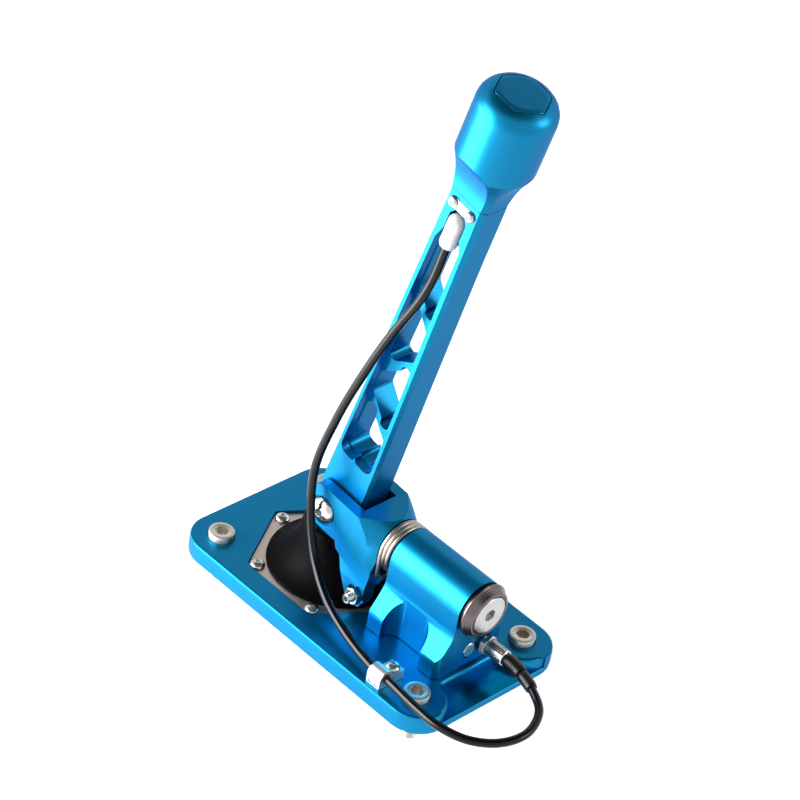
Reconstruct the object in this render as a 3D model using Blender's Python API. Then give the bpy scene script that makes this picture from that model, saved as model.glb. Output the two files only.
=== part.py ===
"""Short shifter with a truss lever, a pivoting yoke on a cross shaft and a button-operated cable lock."""

import math

import bmesh
import bpy
from mathutils import Matrix, Vector

# Clearances between pieces, in metres like every size below.
SEAT_GAP = 0.0003
HOLE_GAP = 0.0003

# Base plate: origin at the centre of its four screws, on its underside.
PLATE_LENGTH = 0.1716
PLATE_WIDTH = 0.101
PLATE_THICKNESS = 0.0105
PLATE_CORNER = 0.0165
PLATE_EDGE = 0.0012
SCREW_PITCH_X = 0.1386
SCREW_PITCH_Y = 0.0712
SCREW_HEAD_RADIUS = 0.0065
SCREW_HEAD_HEIGHT = 0.008
SCREW_HEAD_SUNK = 0.0046
SCREW_SHANK_RADIUS = 0.004
SCREW_BELOW_PLATE = 0.0138
COUNTERBORE_RADIUS = 0.007
RECESS_WALL_X = 0.0698
RECESS_FLOOR_Z = 0.0043
RECESS_BOSS_RADIUS = 0.0155
RECESS_FILLET = 0.0032

# Ring that clamps the boot, on the vertical line through the lever pivot.
BOOT_X = -0.0242
RING_APOTHEM = 0.0384
RING_CORNER = 0.003
RING_THICKNESS = 0.003
RING_BELOW_PLATE = 0.0014
RING_OPENING_RADIUS = 0.0346
RING_SCREW_CIRCLE = 0.0395
RING_SCREW_COUNT = 6
RING_SCREW_RADIUS = 0.002
RING_SCREW_HEAD_RADIUS = 0.0038
RING_SCREW_HEAD_HEIGHT = 0.0022
RING_SCREW_LENGTH = 0.009
PLATE_OPENING_RADIUS = 0.033
BOOT_FLANGE_RADIUS = 0.0363
BOOT_FLANGE_THICKNESS = 0.0014
BOOT_WALL = 0.0015
BOOT_NECK_RADIUS = 0.0188
BOOT_HEIGHT = 0.0265
BOOT_MOUTH_RADIUS = 0.0122
BOOT_RELIEF = 0.001

# Cross shaft, along X.
SHAFT_Z = 0.0463
SHAFT_RADIUS = 0.007
SHAFT_START_X = -0.001

# Pivot housing.
HOUSING_START_X = 0.0203
HOUSING_END_X = 0.067
HOUSING_RADIUS = 0.0139
HOUSING_SIDE_DROP = 0.0133
HOUSING_FOOT_HALF_WIDTH = 0.022
HOUSING_FOOT_TOP_Z = 0.0205
HOUSING_CORNER = 0.0045
HOUSING_WAIST_CURVE = 0.012
HOUSING_FOOT_CURVE = 0.006
POCKET_START_X = 0.0295
POCKET_END_X = 0.0555
POCKET_WALL_Y = 0.0142
POCKET_CORNER = 0.007
HOUSING_BOLT_X_MARGIN = 0.0052
HOUSING_BOLT_Y = 0.0172
HOUSING_BOLT_RADIUS = 0.003
HOUSING_BOLT_HEAD_RADIUS = 0.005
HOUSING_BOLT_HEAD_HEIGHT = 0.006
HOUSING_BOLT_REACH = 0.008
BUSH_RADIUS = 0.009
BUSH_LENGTH = 0.016
BUSH_FLANGE_RADIUS = 0.0128
BUSH_FLANGE = 0.0016
SPRING_GUIDE_RADIUS = 0.0105

# End cap and its countersunk screw.
CAP_BACK_RADIUS = 0.0143
CAP_FRONT_RADIUS = 0.0118
CAP_RIM = 0.0006
CAP_LENGTH = 0.0049
CAP_LAND = 0.0004
CAP_SCREW_HEAD_RADIUS = 0.0098
CAP_SCREW_RADIUS = 0.005
CAP_SCREW_LENGTH = 0.022
CAP_SCREW_PROUD = 0.0002

# Stop pin and the lock plunger beside it.
STOP_PIN_Z = 0.0194
STOP_PIN_RADIUS = 0.0041
STOP_PIN_START_X = 0.0038
PLUNGER_Y = 0.0096
PLUNGER_Z = 0.02
PLUNGER_RADIUS = 0.0024
PLUNGER_START_X = 0.0121
PLUNGER_LENGTH = 0.032
PLUNGER_TRAVEL = 0.004
BARREL_THREAD_RADIUS = 0.003
BARREL_THREAD_LENGTH = 0.014
BARREL_GAP_X = 0.0042
BARREL_RADIUS = 0.0041
BARREL_LENGTH = 0.0105
BARREL_FLUTES = 20
BARREL_FLUTE_DEPTH = 0.0003
LOCK_NUT_FLATS = 0.01
LOCK_NUT_THICKNESS = 0.0024
LOCK_NUT_STANDOFF = 0.0016

# Centring spring: a torsion coil round the shaft between yoke and housing.
SPRING_RADIUS = 0.01305
SPRING_WIRE_RADIUS = 0.0011
SPRING_PITCH = 0.0023
SPRING_TURNS = 2.5
SPRING_LEG_DROP = 0.0145
SPRING_HOOK = 0.0055
SPRING_BEND = 0.0028
DRIVE_PIN_DROP = 0.017
ANCHOR_PIN_DROP = 0.0206
PIN_RADIUS = 0.0015

# Yoke, with its heights counted from the shaft axis.
YOKE_START_X = -0.034
YOKE_END_X = 0.01175
CHEEK_HALF_WIDTH = 0.0165
SLOT_HALF_WIDTH = 0.0104
SLOT_END_X = -0.0034
YOKE_NOSE_RADIUS = 0.0078
YOKE_TOP_FRONT = 0.0171
YOKE_TOP_REAR = 0.0141
YOKE_TAPER = 0.6
YOKE_SIDE_DROP = 0.009
YOKE_LEG_HALF_WIDTH = 0.0183
YOKE_LEG_INNER = 0.011
YOKE_LEG_START_X = -0.001
YOKE_FLARE_TOP = 0.0143
YOKE_FLARE_BOTTOM = 0.0203
YOKE_LEG_BOTTOM = 0.0328
YOKE_UNDERSIDE = 0.0203
YOKE_ARCH_RADIUS = 0.004
PIVOT_SPOT_RADIUS = 0.008
PIVOT_SPOT_DEPTH = 0.0015
PIVOT_BOLT_RADIUS = 0.004
PIVOT_HEAD_RADIUS = 0.007
PIVOT_HEAD_HEIGHT = 0.0042
PIVOT_NUT_FLATS = 0.013
PIVOT_NUT_THICKNESS = 0.0065
PIVOT_BOLT_PAST_NUT = 0.002
WASHER_RADIUS = 0.011
STOP_SCREW_X = 0.0066
STOP_SCREW_DROP = 0.0272
STOP_SCREW_RADIUS = 0.0025
STOP_SCREW_INNER = 0.0082
STOP_SCREW_OUTER = 0.0243
STOP_NUT_FLATS = 0.008
STOP_NUT_THICKNESS = 0.004
STOP_SPOT_RADIUS = 0.0055
STOP_SPOT_DEPTH = 0.0015

# Lever: local X across it, local Z up it, from the pivot.
PIVOT_Z = 0.049
LEVER_LEAN = math.radians(12)
LEVER_HALF_THICKNESS = 0.009
LEVER_TOP = 0.2046
LEVER_WAIST = 0.15
LEVER_FOOT = 0.005
LEVER_TOP_FRONT = 0.0086
LEVER_WAIST_FRONT = 0.0089
LEVER_FOOT_FRONT = 0.0122
LEVER_TOP_REAR = 0.0097
LEVER_WAIST_REAR = 0.0101
LEVER_FOOT_REAR = 0.0141
LEVER_CHAMFER_DEPTH = 0.0029
LEVER_CHAMFER_FRONT = 0.0015
LEVER_CHAMFER_TOP = 0.0024
LEVER_CHAMFER_FOOT = 0.0013
LEVER_RIM_FRONT = 0.0015
LEVER_RIM_REAR = 0.0017
LEVER_POCKET_DEPTH = 0.0052
POCKET_BOTTOM = 0.0318
KEYHOLE_TOP = LEVER_TOP - 0.0116
KEYHOLE_BOTTOM = LEVER_TOP - 0.0206
KEYHOLE_SLOT_FRONT = 0.0025
KEYHOLE_SLOT_REAR = 0.004
WINDOW_LEDGE = 0.0006
WINDOW_REAR_TOP = 0.006
WINDOW_REAR_TAPER = 0.018
WINDOW_CORNER = 0.0022
PIVOT_BUSH_RADIUS = 0.0062
BOSS_DROP = 0.0113
ARM_HALF_WIDTH = 0.007
ARM_HALF_THICKNESS = 0.006
ARM_LENGTH = 0.08
EYE_RADIUS = 0.011
EYE_BORE_RADIUS = 0.0062
EYE_BUSH_BORE = 0.004
STUD_RADIUS = 0.006
STUD_LENGTH = 0.02

# Cable ferrule in the keyhole and the strip that holds it.
FERRULE_X = 0.0006
FERRULE_RADIUS = 0.00425
FERRULE_BOTTOM = LEVER_TOP - 0.0281
FERRULE_LENGTH = 0.0182
FERRULE_DOME = 0.0035
BRIDGE_Z = LEVER_TOP - 0.0053
BRIDGE_HALF_HEIGHT = 0.0026
BRIDGE_THICKNESS = 0.0012
BRIDGE_SUNK = 0.0012
BRIDGE_SCREW_FRONT = -0.0048
BRIDGE_SCREW_REAR = 0.006
BRIDGE_SCREW_RADIUS = 0.0015
BRIDGE_HEAD_RADIUS = 0.00275
BRIDGE_HEAD_HEIGHT = 0.0016
BRIDGE_SCREW_LENGTH = 0.005

# Knob and its button, on the lever's centre line.
KNOB_X = 0.0005
KNOB_RADIUS = 0.0189
KNOB_NECK_RADIUS = 0.0129
KNOB_SHOULDER = LEVER_TOP + 0.0224
KNOB_RIM = LEVER_TOP + 0.0504
KNOB_EDGE = 0.0093
SCALLOP_RADIUS = 0.036
BUTTON_CIRCUMRADIUS = 0.0134
BUTTON_CORNER = 0.003
BUTTON_GAP = 0.0004
BUTTON_HEIGHT = 0.0083
BUTTON_TRAVEL = 0.004
ROD_RADIUS = 0.002
ROD_BOTTOM = LEVER_TOP - 0.0046
CHAMBER_RADIUS = 0.0056
CHAMBER_DEPTH = 0.015
BUTTON_SPRING_RADIUS = 0.0042
BUTTON_SPRING_WIRE = 0.0004
BUTTON_SPRING_TURNS = 5

# Cable and its clamp.
CABLE_RADIUS = 0.00215
CABLE_STEP = 0.0065
SLEEVE_RADIUS = 0.004
SLEEVE_LENGTH = 0.0118
SLEEVE_STEP_LENGTH = 0.0102
SLEEVE_STEP_RADIUS = 0.00315
CLAMP_X = 0.0525
CLAMP_LENGTH = 0.0085
CLAMP_CABLE_Y = -0.0442
CLAMP_CABLE_Z = 0.016
CLAMP_BODY_RADIUS = 0.0043
CLAMP_EAR_LENGTH = 0.0076
CLAMP_EAR_TOP_Z = 0.016
CLAMP_SCREW_RADIUS = 0.002
CLAMP_SCREW_HEAD_RADIUS = 0.0036
CLAMP_SCREW_HEAD_HEIGHT = 0.0022
CLAMP_GRUB_RADIUS = 0.0008
CLAMP_GRUB_PITCH = 0.004
CLAMP_GRUB_Z = 0.0126

PIVOT_RISE = PIVOT_Z - SHAFT_Z
RING_TOP_Z = PLATE_THICKNESS - RING_BELOW_PLATE
RING_BOTTOM_Z = RING_TOP_Z - RING_THICKNESS
FLANGE_TOP_Z = RING_BOTTOM_Z - SEAT_GAP
FLANGE_BOTTOM_Z = FLANGE_TOP_Z - BOOT_FLANGE_THICKNESS
HOUSING_BASE_Z = PLATE_THICKNESS + SEAT_GAP
BUSH_END_X = HOUSING_END_X + SEAT_GAP + BUSH_FLANGE
SHAFT_END_X = BUSH_END_X
CAP_START_X = SHAFT_END_X + SEAT_GAP
WEB_Y = -LEVER_HALF_THICKNESS + LEVER_POCKET_DEPTH
FERRULE_Y = WEB_Y - FERRULE_RADIUS - SEAT_GAP
KNOB_BOTTOM = LEVER_TOP + SEAT_GAP
KNOB_TOP = KNOB_RIM + KNOB_EDGE
BUTTON_BOTTOM = KNOB_TOP - BUTTON_HEIGHT
SOCKET_FLOOR = BUTTON_BOTTOM - BUTTON_TRAVEL - SEAT_GAP


def material(name, colour, roughness, metallic):
    made = bpy.data.materials.new(name)
    made.use_nodes = True
    shader = made.node_tree.nodes["Principled BSDF"]
    shader.inputs["Base Color"].default_value = (*colour, 1.0)
    shader.inputs["Roughness"].default_value = roughness
    shader.inputs["Metallic"].default_value = metallic
    return made


def empty(name, parent, location, lean=0.0):
    made = bpy.data.objects.new(name, None)
    bpy.context.scene.collection.objects.link(made)
    made.parent = parent
    made.location = location
    made.rotation_euler = (0.0, lean, 0.0)
    return made


def add(name, mesh, look, parent, location=(0.0, 0.0, 0.0), smooth=True):
    if smooth:
        mesh.shade_smooth()
        mesh.set_sharp_from_angle(angle=math.radians(32))
    mesh.materials.append(look)
    made = bpy.data.objects.new(name, mesh)
    bpy.context.scene.collection.objects.link(made)
    made.parent = parent
    made.location = location
    return made


def add_copies(name, mesh, look, parent, places, half_turns=None):
    """One object for each place, all with the same mesh; a half turn is about the vertical."""
    mesh.shade_smooth()
    mesh.set_sharp_from_angle(angle=math.radians(32))
    mesh.materials.append(look)
    for number, place in enumerate(places, 1):
        made = bpy.data.objects.new(f"{name}_{number}", mesh)
        bpy.context.scene.collection.objects.link(made)
        made.parent = parent
        made.location = place
        if half_turns and half_turns[number - 1]:
            made.rotation_euler = (0.0, 0.0, math.pi)


def guide(mesh, parent):
    """A shape that only cuts, trims or joins another."""
    made = bpy.data.objects.new("shape_" + mesh.name, mesh)
    bpy.context.scene.collection.objects.link(made)
    made.parent = parent
    made.hide_render = True
    made.display_type = "WIRE"
    return made


def combine(target, operation, meshes):
    for mesh in meshes:
        modifier = target.modifiers.new(mesh.name, "BOOLEAN")
        modifier.operation = operation
        modifier.solver = "EXACT"
        modifier.object = guide(mesh, target.parent)
        modifier.object.location = target.location


def cut(target, *meshes):
    combine(target, "DIFFERENCE", meshes)


def trim(target, *meshes):
    combine(target, "INTERSECT", meshes)


def fuse(target, *meshes):
    combine(target, "UNION", meshes)


def arc(x, y, radius, start, end, steps):
    """Points on a circle between two angles in degrees."""
    angles = [math.radians(start + (end - start) * i / steps) for i in range(steps + 1)]
    return [(x + radius * math.cos(a), y + radius * math.sin(a)) for a in angles]


def rounded(corners, steps=4):
    """An outline from (x, y, fillet radius) corners."""
    points = []
    for i, (x, y, radius) in enumerate(corners):
        here = Vector((x, y))
        back = Vector(corners[i - 1][:2]) - here
        ahead = Vector(corners[(i + 1) % len(corners)][:2]) - here
        turn = back.angle(ahead)
        if radius <= 0 or turn > math.radians(179):
            points.append((x, y))
            continue
        reach = min(radius / math.tan(turn / 2), back.length * 0.48, ahead.length * 0.48)
        radius = reach * math.tan(turn / 2)
        middle = here + (back.normalized() + ahead.normalized()).normalized() * (radius / math.sin(turn / 2))
        first = here + back.normalized() * reach - middle
        last = here + ahead.normalized() * reach - middle
        sweep = first.angle_signed(last)
        for k in range(steps + 1):
            spoke = first.copy()
            spoke.rotate(Matrix.Rotation(-sweep * k / steps, 2))
            points.append(tuple(middle + spoke))
    return points


def placed(axis, a, b, height):
    """An outline's point (a, b) at a height along the axis."""
    return {"X": (height, a, b), "Y": (a, height, b), "Z": (a, b, height)}[axis]


def meshed(name, points, faces):
    shape = bmesh.new()
    corners = [shape.verts.new(p) for p in points]
    for face in faces:
        shape.faces.new([corners[i] for i in face])
    bmesh.ops.recalc_face_normals(shape, faces=shape.faces)
    mesh = bpy.data.meshes.new(name)
    shape.to_mesh(mesh)
    shape.free()
    return mesh


def loft(name, axis, stations):
    """A solid through outlines with equal numbers of points, as [(height, outline), ...]."""
    count = len(stations[0][1])
    points = [placed(axis, a, b, height) for height, outline in stations for a, b in outline]
    faces = [tuple(range(count)), tuple(len(points) - count + i for i in range(count))]
    for level in range(len(stations) - 1):
        low = level * count
        for i in range(count):
            j = (i + 1) % count
            faces.append((low + i, low + j, low + count + j, low + count + i))
    return meshed(name, points, faces)


def prism(name, axis, outline, low, high):
    return loft(name, axis, [(low, outline), (high, outline)])


def turned(name, axis, profile, centre=(0.0, 0.0), segments=24):
    """A body turned from (radius, height) stations, or ring-shaped if it ends where it starts.

    A third value makes a station a hexagon with that distance from centre to flat.
    """
    closed = profile[0] == profile[-1]
    stations = profile[:-1] if closed else profile
    points, rings = [], []
    for station in stations:
        radius, height = station[0], station[1]
        hexagonal = len(station) > 2
        if radius == 0:
            rings.append([len(points)])
            points.append(placed(axis, centre[0], centre[1], height))
            continue
        ring = []
        for i in range(segments):
            angle = math.tau * i / segments
            reach = radius
            if hexagonal:
                reach = radius / math.cos((angle + math.pi / 6) % (math.pi / 3) - math.pi / 6)
            ring.append(len(points))
            points.append(
                placed(axis, centre[0] + reach * math.cos(angle), centre[1] + reach * math.sin(angle), height)
            )
        rings.append(ring)
    faces = []
    pairs = list(zip(rings, rings[1:]))
    if closed:
        pairs.append((rings[-1], rings[0]))
    for low, high in pairs:
        for i in range(segments):
            j = (i + 1) % segments
            face = [low[i % len(low)], low[j % len(low)], high[j % len(high)], high[i % len(high)]]
            face = [v for n, v in enumerate(face) if v != face[n - 1]]
            faces.append(tuple(face))
    return meshed(name, points, faces)


def gathered(name, meshes):
    """Several meshes as one, kept as separate bodies."""
    shape = bmesh.new()
    for mesh in meshes:
        shape.from_mesh(mesh)
    mesh = bpy.data.meshes.new(name)
    shape.to_mesh(mesh)
    shape.free()
    return mesh


def cylinder(name, axis, radius, low, high, centre=(0.0, 0.0), segments=24):
    return turned(name, axis, [(0, low), (radius, low), (radius, high), (0, high)], centre, segments)


def hexagon(flat_distance, turn=30.0):
    return arc(0, 0, flat_distance / math.cos(math.pi / 6), turn, turn + 300, 5)


def at(outline, x, y):
    return [(a + x, b + y) for a, b in outline]


def cap_screw(name, axis, head_radius, head_height, shank_radius, tip, seat, centre=(0.0, 0.0), way=1, segments=18):
    """A cap screw whose head sits on the seat, with its shank running back to the tip."""
    top = seat + way * head_height
    edge = head_radius * 0.08
    profile = [
        (0, tip),
        (shank_radius, tip),
        (shank_radius, seat),
        (head_radius, seat),
        (head_radius, top - way * edge),
        (head_radius - edge, top),
        (head_radius * 0.46, top, 6),
        (head_radius * 0.46, top - way * head_height * 0.5, 6),
        (0, top - way * head_height * 0.5),
    ]
    return turned(name, axis, profile, centre, segments)


def button_screw(name, axis, head_radius, head_height, shank_radius, tip, seat, centre=(0.0, 0.0), way=1, segments=18):
    """A dome-headed screw with a hexagon socket."""
    top = seat + way * head_height
    profile = [
        (0, tip),
        (shank_radius, tip),
        (shank_radius, seat),
        (head_radius, seat),
        (head_radius, seat + way * head_height * 0.2),
        (head_radius * 0.82, seat + way * head_height * 0.72),
        (head_radius * 0.5, top),
        (head_radius * 0.32, top, 6),
        (head_radius * 0.32, top - way * head_height * 0.55, 6),
        (0, top - way * head_height * 0.55),
    ]
    return turned(name, axis, profile, centre, segments)


def nut(name, axis, flats, thickness, bore, start, centre=(0.0, 0.0), turn=30.0, way=1):
    """A hexagon nut as a ring with twelve stations round it."""
    half, end, edge = flats / 2, start + way * thickness, thickness * 0.12
    profile = [
        (bore, start),
        (half, start),
        (half, start + way * edge, 6),
        (half, end - way * edge, 6),
        (half, end),
        (bore, end),
        (bore, start),
    ]
    mesh = turned(name, axis, profile, (0.0, 0.0), 12)
    about = {"X": (1, 0, 0), "Y": (0, 1, 0), "Z": (0, 0, 1)}[axis]
    mesh.transform(Matrix.Rotation(math.radians(turn), 4, Vector(about)))
    mesh.transform(Matrix.Translation(placed(axis, centre[0], centre[1], 0.0)))
    return mesh


def tube(name, points, radius, look, parent, resolution=2):
    """A round wire or cable through the points, with closed ends."""
    curve = bpy.data.curves.new(name, "CURVE")
    curve.dimensions = "3D"
    curve.bevel_depth = radius
    curve.bevel_resolution = resolution
    curve.use_fill_caps = True
    spline = curve.splines.new("POLY")
    spline.points.add(len(points) - 1)
    for place, point in zip(spline.points, points):
        place.co = (*point, 1.0)
    curve.materials.append(look)
    made = bpy.data.objects.new(name, curve)
    bpy.context.scene.collection.objects.link(made)
    made.parent = parent
    return made


def smooth_route(knots, spacing):
    """Points at an even spacing on a centripetal curve through the knots."""
    knots = [Vector(k) for k in knots]
    ends = [knots[0] * 2 - knots[1], *knots, knots[-1] * 2 - knots[-2]]
    dense = []
    for a, b, c, d in zip(ends, ends[1:], ends[2:], ends[3:]):
        t0 = 0.0
        t1 = t0 + (b - a).length ** 0.5
        t2 = t1 + (c - b).length ** 0.5
        t3 = t2 + (d - c).length ** 0.5
        for i in range(24):
            t = t1 + (t2 - t1) * i / 24
            ab = a * ((t1 - t) / (t1 - t0)) + b * ((t - t0) / (t1 - t0))
            bc = b * ((t2 - t) / (t2 - t1)) + c * ((t - t1) / (t2 - t1))
            cd = c * ((t3 - t) / (t3 - t2)) + d * ((t - t2) / (t3 - t2))
            abc = ab * ((t2 - t) / (t2 - t0)) + bc * ((t - t0) / (t2 - t0))
            bcd = bc * ((t3 - t) / (t3 - t1)) + cd * ((t - t1) / (t3 - t1))
            dense.append(abc * ((t2 - t) / (t2 - t1)) + bcd * ((t - t1) / (t2 - t1)))
    dense.append(knots[-1])
    lengths = [0.0]
    for p, q in zip(dense, dense[1:]):
        lengths.append(lengths[-1] + (q - p).length)
    count = max(2, round(lengths[-1] / spacing))
    route, k = [], 0
    for i in range(count + 1):
        goal = lengths[-1] * i / count
        while k < len(dense) - 2 and lengths[k + 1] < goal:
            k += 1
        share = (goal - lengths[k]) / (lengths[k + 1] - lengths[k])
        route.append(dense[k].lerp(dense[k + 1], share))
    return route


def lever_point(x, y, z):
    """A point of the lever's own frame, in the world."""
    turned_point = Matrix.Rotation(LEVER_LEAN, 3, "Y") @ Vector((x, y, z))
    return turned_point + Vector((BOOT_X, 0.0, PIVOT_Z))


for thing in list(bpy.data.objects):
    bpy.data.objects.remove(thing, do_unlink=True)

blue = material("blue_anodised", (0.0, 0.27, 0.55), 0.32, 0.9)
steel = material("zinc_steel", (0.62, 0.62, 0.6), 0.25, 1.0)
stainless = material("brushed_stainless", (0.5, 0.47, 0.43), 0.35, 1.0)
hard_steel = material("ground_steel", (0.55, 0.55, 0.55), 0.18, 1.0)
bright = material("bright_aluminium", (0.8, 0.8, 0.8), 0.3, 1.0)
rubber = material("boot_rubber", (0.012, 0.012, 0.012), 0.75, 0.0)
sheath = material("cable_sheath", (0.01, 0.01, 0.01), 0.3, 0.0)
nylon = material("white_nylon", (0.85, 0.85, 0.83), 0.45, 0.0)
bearing = material("bearing_plastic", (0.02, 0.02, 0.02), 0.5, 0.0)

base = empty("base_axes", None, (0.0, 0.0, 0.0))
yoke_axes = empty("yoke_axes", None, (0.0, 0.0, SHAFT_Z))
lever_axes = empty("lever_axes", yoke_axes, (BOOT_X, 0.0, PIVOT_RISE), LEVER_LEAN)
button_axes = empty("button_axes", lever_axes, (KNOB_X, 0.0, 0.0))
plunger_axes = empty("plunger_axes", None, (0.0, PLUNGER_Y, PLUNGER_Z))

# Base plate.
half_x, half_y = PLATE_LENGTH / 2, PLATE_WIDTH / 2
plate_outline = rounded(
    [(sx * half_x, sy * half_y, PLATE_CORNER) for sx, sy in ((-1, -1), (1, -1), (1, 1), (-1, 1))], 8
)
plate = add("base_plate", prism("plate", "Z", plate_outline, 0.0, PLATE_THICKNESS), blue, base)
edge = plate.modifiers.new("edge", "BEVEL")
edge.width = PLATE_EDGE
edge.segments = 2
edge.limit_method = "ANGLE"
edge.angle_limit = math.radians(60)
corner_screws = [
    (sx * SCREW_PITCH_X / 2, sy * SCREW_PITCH_Y / 2) for sx in (-1, 1) for sy in (-1, 1)
]
counterbore_floor = PLATE_THICKNESS - SCREW_HEAD_SUNK - SEAT_GAP
above = PLATE_THICKNESS + 0.01
screw_hole = [
    (0, -0.01),
    (SCREW_SHANK_RADIUS + HOLE_GAP, -0.01),
    (SCREW_SHANK_RADIUS + HOLE_GAP, counterbore_floor),
    (COUNTERBORE_RADIUS, counterbore_floor),
    (COUNTERBORE_RADIUS, above),
    (0, above),
]
recess_boss_x = SCREW_PITCH_X / 2
recess_boss_y = SCREW_PITCH_Y / 2
boss_arc = arc(recess_boss_x, -recess_boss_y, RECESS_BOSS_RADIUS, 0, 72, 7)
recess_side = [(x, y, 0) for x, y in boss_arc]
recess_side.append((RECESS_WALL_X, -recess_boss_y + RECESS_BOSS_RADIUS, RECESS_FILLET))
past_end = half_x + 0.01
recess = [(past_end, -recess_boss_y, 0), *recess_side]
recess += [(x, -y, radius) for x, y, radius in reversed(recess)]
housing_bolts = [
    (x, sy * HOUSING_BOLT_Y)
    for x in (HOUSING_START_X + HOUSING_BOLT_X_MARGIN, HOUSING_END_X - HOUSING_BOLT_X_MARGIN)
    for sy in (-1, 1)
]
bolt_floor = HOUSING_BOLT_HEAD_HEIGHT + 2 * SEAT_GAP
bolt_hole = [
    (0, -0.01),
    (HOUSING_BOLT_HEAD_RADIUS + HOLE_GAP, -0.01),
    (HOUSING_BOLT_HEAD_RADIUS + HOLE_GAP, bolt_floor),
    (HOUSING_BOLT_RADIUS + HOLE_GAP, bolt_floor),
    (HOUSING_BOLT_RADIUS + HOLE_GAP, above),
    (0, above),
]
ear_y = CLAMP_CABLE_Y + CLAMP_BODY_RADIUS + CLAMP_EAR_LENGTH / 2
plate_cuts = [turned("hole", "Z", screw_hole, c, 20) for c in corner_screws]
plate_cuts += [turned("hole", "Z", bolt_hole, c, 12) for c in housing_bolts]
plate_cuts.append(cylinder("clamp_tap", "Z", CLAMP_SCREW_RADIUS + HOLE_GAP, 0.002, 0.02, (CLAMP_X, ear_y), 10))
plate_cuts.append(prism("end_recess", "Z", rounded(recess), RECESS_FLOOR_Z, above))
ring_seat = rounded(
    [(x + BOOT_X, y, RING_CORNER) for x, y in hexagon(RING_APOTHEM + HOLE_GAP, 0.0)]
)
boot_bore = [
    (0, -0.01),
    (PLATE_OPENING_RADIUS, -0.01),
    (PLATE_OPENING_RADIUS, FLANGE_BOTTOM_Z - SEAT_GAP),
    (BOOT_FLANGE_RADIUS + HOLE_GAP, FLANGE_BOTTOM_Z - SEAT_GAP),
    (BOOT_FLANGE_RADIUS + HOLE_GAP, above),
    (0, above),
]
ring_screw_places = [
    (BOOT_X + x, y)
    for x, y in arc(0, 0, RING_SCREW_CIRCLE, 0, 360 - 360 / RING_SCREW_COUNT, RING_SCREW_COUNT - 1)
]
ring_screw_tip = RING_TOP_Z + SEAT_GAP - RING_SCREW_LENGTH
ring_taps = [cylinder("tap", "Z", RING_SCREW_RADIUS + HOLE_GAP, -0.01, 0.02, c, 10) for c in ring_screw_places]
cut(
    plate,
    gathered("plate_holes", plate_cuts),
    prism("ring_seat", "Z", ring_seat, RING_BOTTOM_Z - SEAT_GAP, above),
    gathered("boot_and_taps", [turned("boot_bore", "Z", boot_bore, (BOOT_X, 0.0), 36), *ring_taps]),
)

mounting_screw = cap_screw(
    "mounting_screw", "Z", SCREW_HEAD_RADIUS, SCREW_HEAD_HEIGHT, SCREW_SHANK_RADIUS,
    -SCREW_BELOW_PLATE, PLATE_THICKNESS - SCREW_HEAD_SUNK,
)
add_copies("mounting_screw", mounting_screw, steel, base, [(*c, 0.0) for c in corner_screws])
housing_bolt = cap_screw(
    "housing_bolt", "Z", HOUSING_BOLT_HEAD_RADIUS, HOUSING_BOLT_HEAD_HEIGHT, HOUSING_BOLT_RADIUS,
    PLATE_THICKNESS + HOUSING_BOLT_REACH, bolt_floor - SEAT_GAP, way=-1, segments=12,
)
add_copies("housing_bolt", housing_bolt, steel, base, [(*c, 0.0) for c in housing_bolts])

# Boot ring, its screws and the boot.
ring_outline = rounded([(x + BOOT_X, y, RING_CORNER) for x, y in hexagon(RING_APOTHEM, 0.0)])
ring = add("boot_ring", prism("ring", "Z", ring_outline, RING_BOTTOM_Z, RING_TOP_Z), stainless, base)
cut(
    ring,
    cylinder("ring_opening", "Z", RING_OPENING_RADIUS, -0.01, 0.03, (BOOT_X, 0.0), 36),
    gathered(
        "ring_holes",
        [cylinder("hole", "Z", RING_SCREW_RADIUS + HOLE_GAP, 0.0, 0.02, c, 10) for c in ring_screw_places],
    ),
)
ring_screw = button_screw(
    "ring_screw", "Z", RING_SCREW_HEAD_RADIUS, RING_SCREW_HEAD_HEIGHT, RING_SCREW_RADIUS,
    ring_screw_tip, RING_TOP_Z + SEAT_GAP, segments=12,
)
add_copies("ring_screw", ring_screw, steel, base, [(*c, 0.0) for c in ring_screw_places])


def boot_radius(height):
    """The boot's outer radius at a height above the plate: a quick flare at the foot, then a taper."""
    share = height / BOOT_HEIGHT
    flare = (RING_OPENING_RADIUS - HOLE_GAP - 0.024) * math.exp(-height / 0.0052)
    return BOOT_NECK_RADIUS + (0.024 - BOOT_NECK_RADIUS) * (1 - share) + flare


boot_levels = [BOOT_HEIGHT * (i / 7) ** 1.6 for i in range(8)]
boot_outside = [(boot_radius(h), PLATE_THICKNESS + h) for h in boot_levels]
boot_foot = RING_OPENING_RADIUS - HOLE_GAP
boot_top_z = PLATE_THICKNESS + BOOT_HEIGHT
boot_profile = [
    (boot_foot - BOOT_WALL, FLANGE_BOTTOM_Z),
    (BOOT_FLANGE_RADIUS, FLANGE_BOTTOM_Z),
    (BOOT_FLANGE_RADIUS, FLANGE_TOP_Z),
    (boot_foot, FLANGE_TOP_Z),
    *boot_outside,
    (BOOT_MOUTH_RADIUS, boot_top_z),
    (BOOT_MOUTH_RADIUS, boot_top_z - BOOT_WALL),
    *[(r - BOOT_WALL, z - (BOOT_WALL if i == 0 else 0)) for i, (r, z) in enumerate(reversed(boot_outside))],
    (boot_foot - BOOT_WALL, FLANGE_BOTTOM_Z),
]
boot = add("boot", turned("boot", "Z", boot_profile, (BOOT_X, 0.0), 27), rubber, base)

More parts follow.
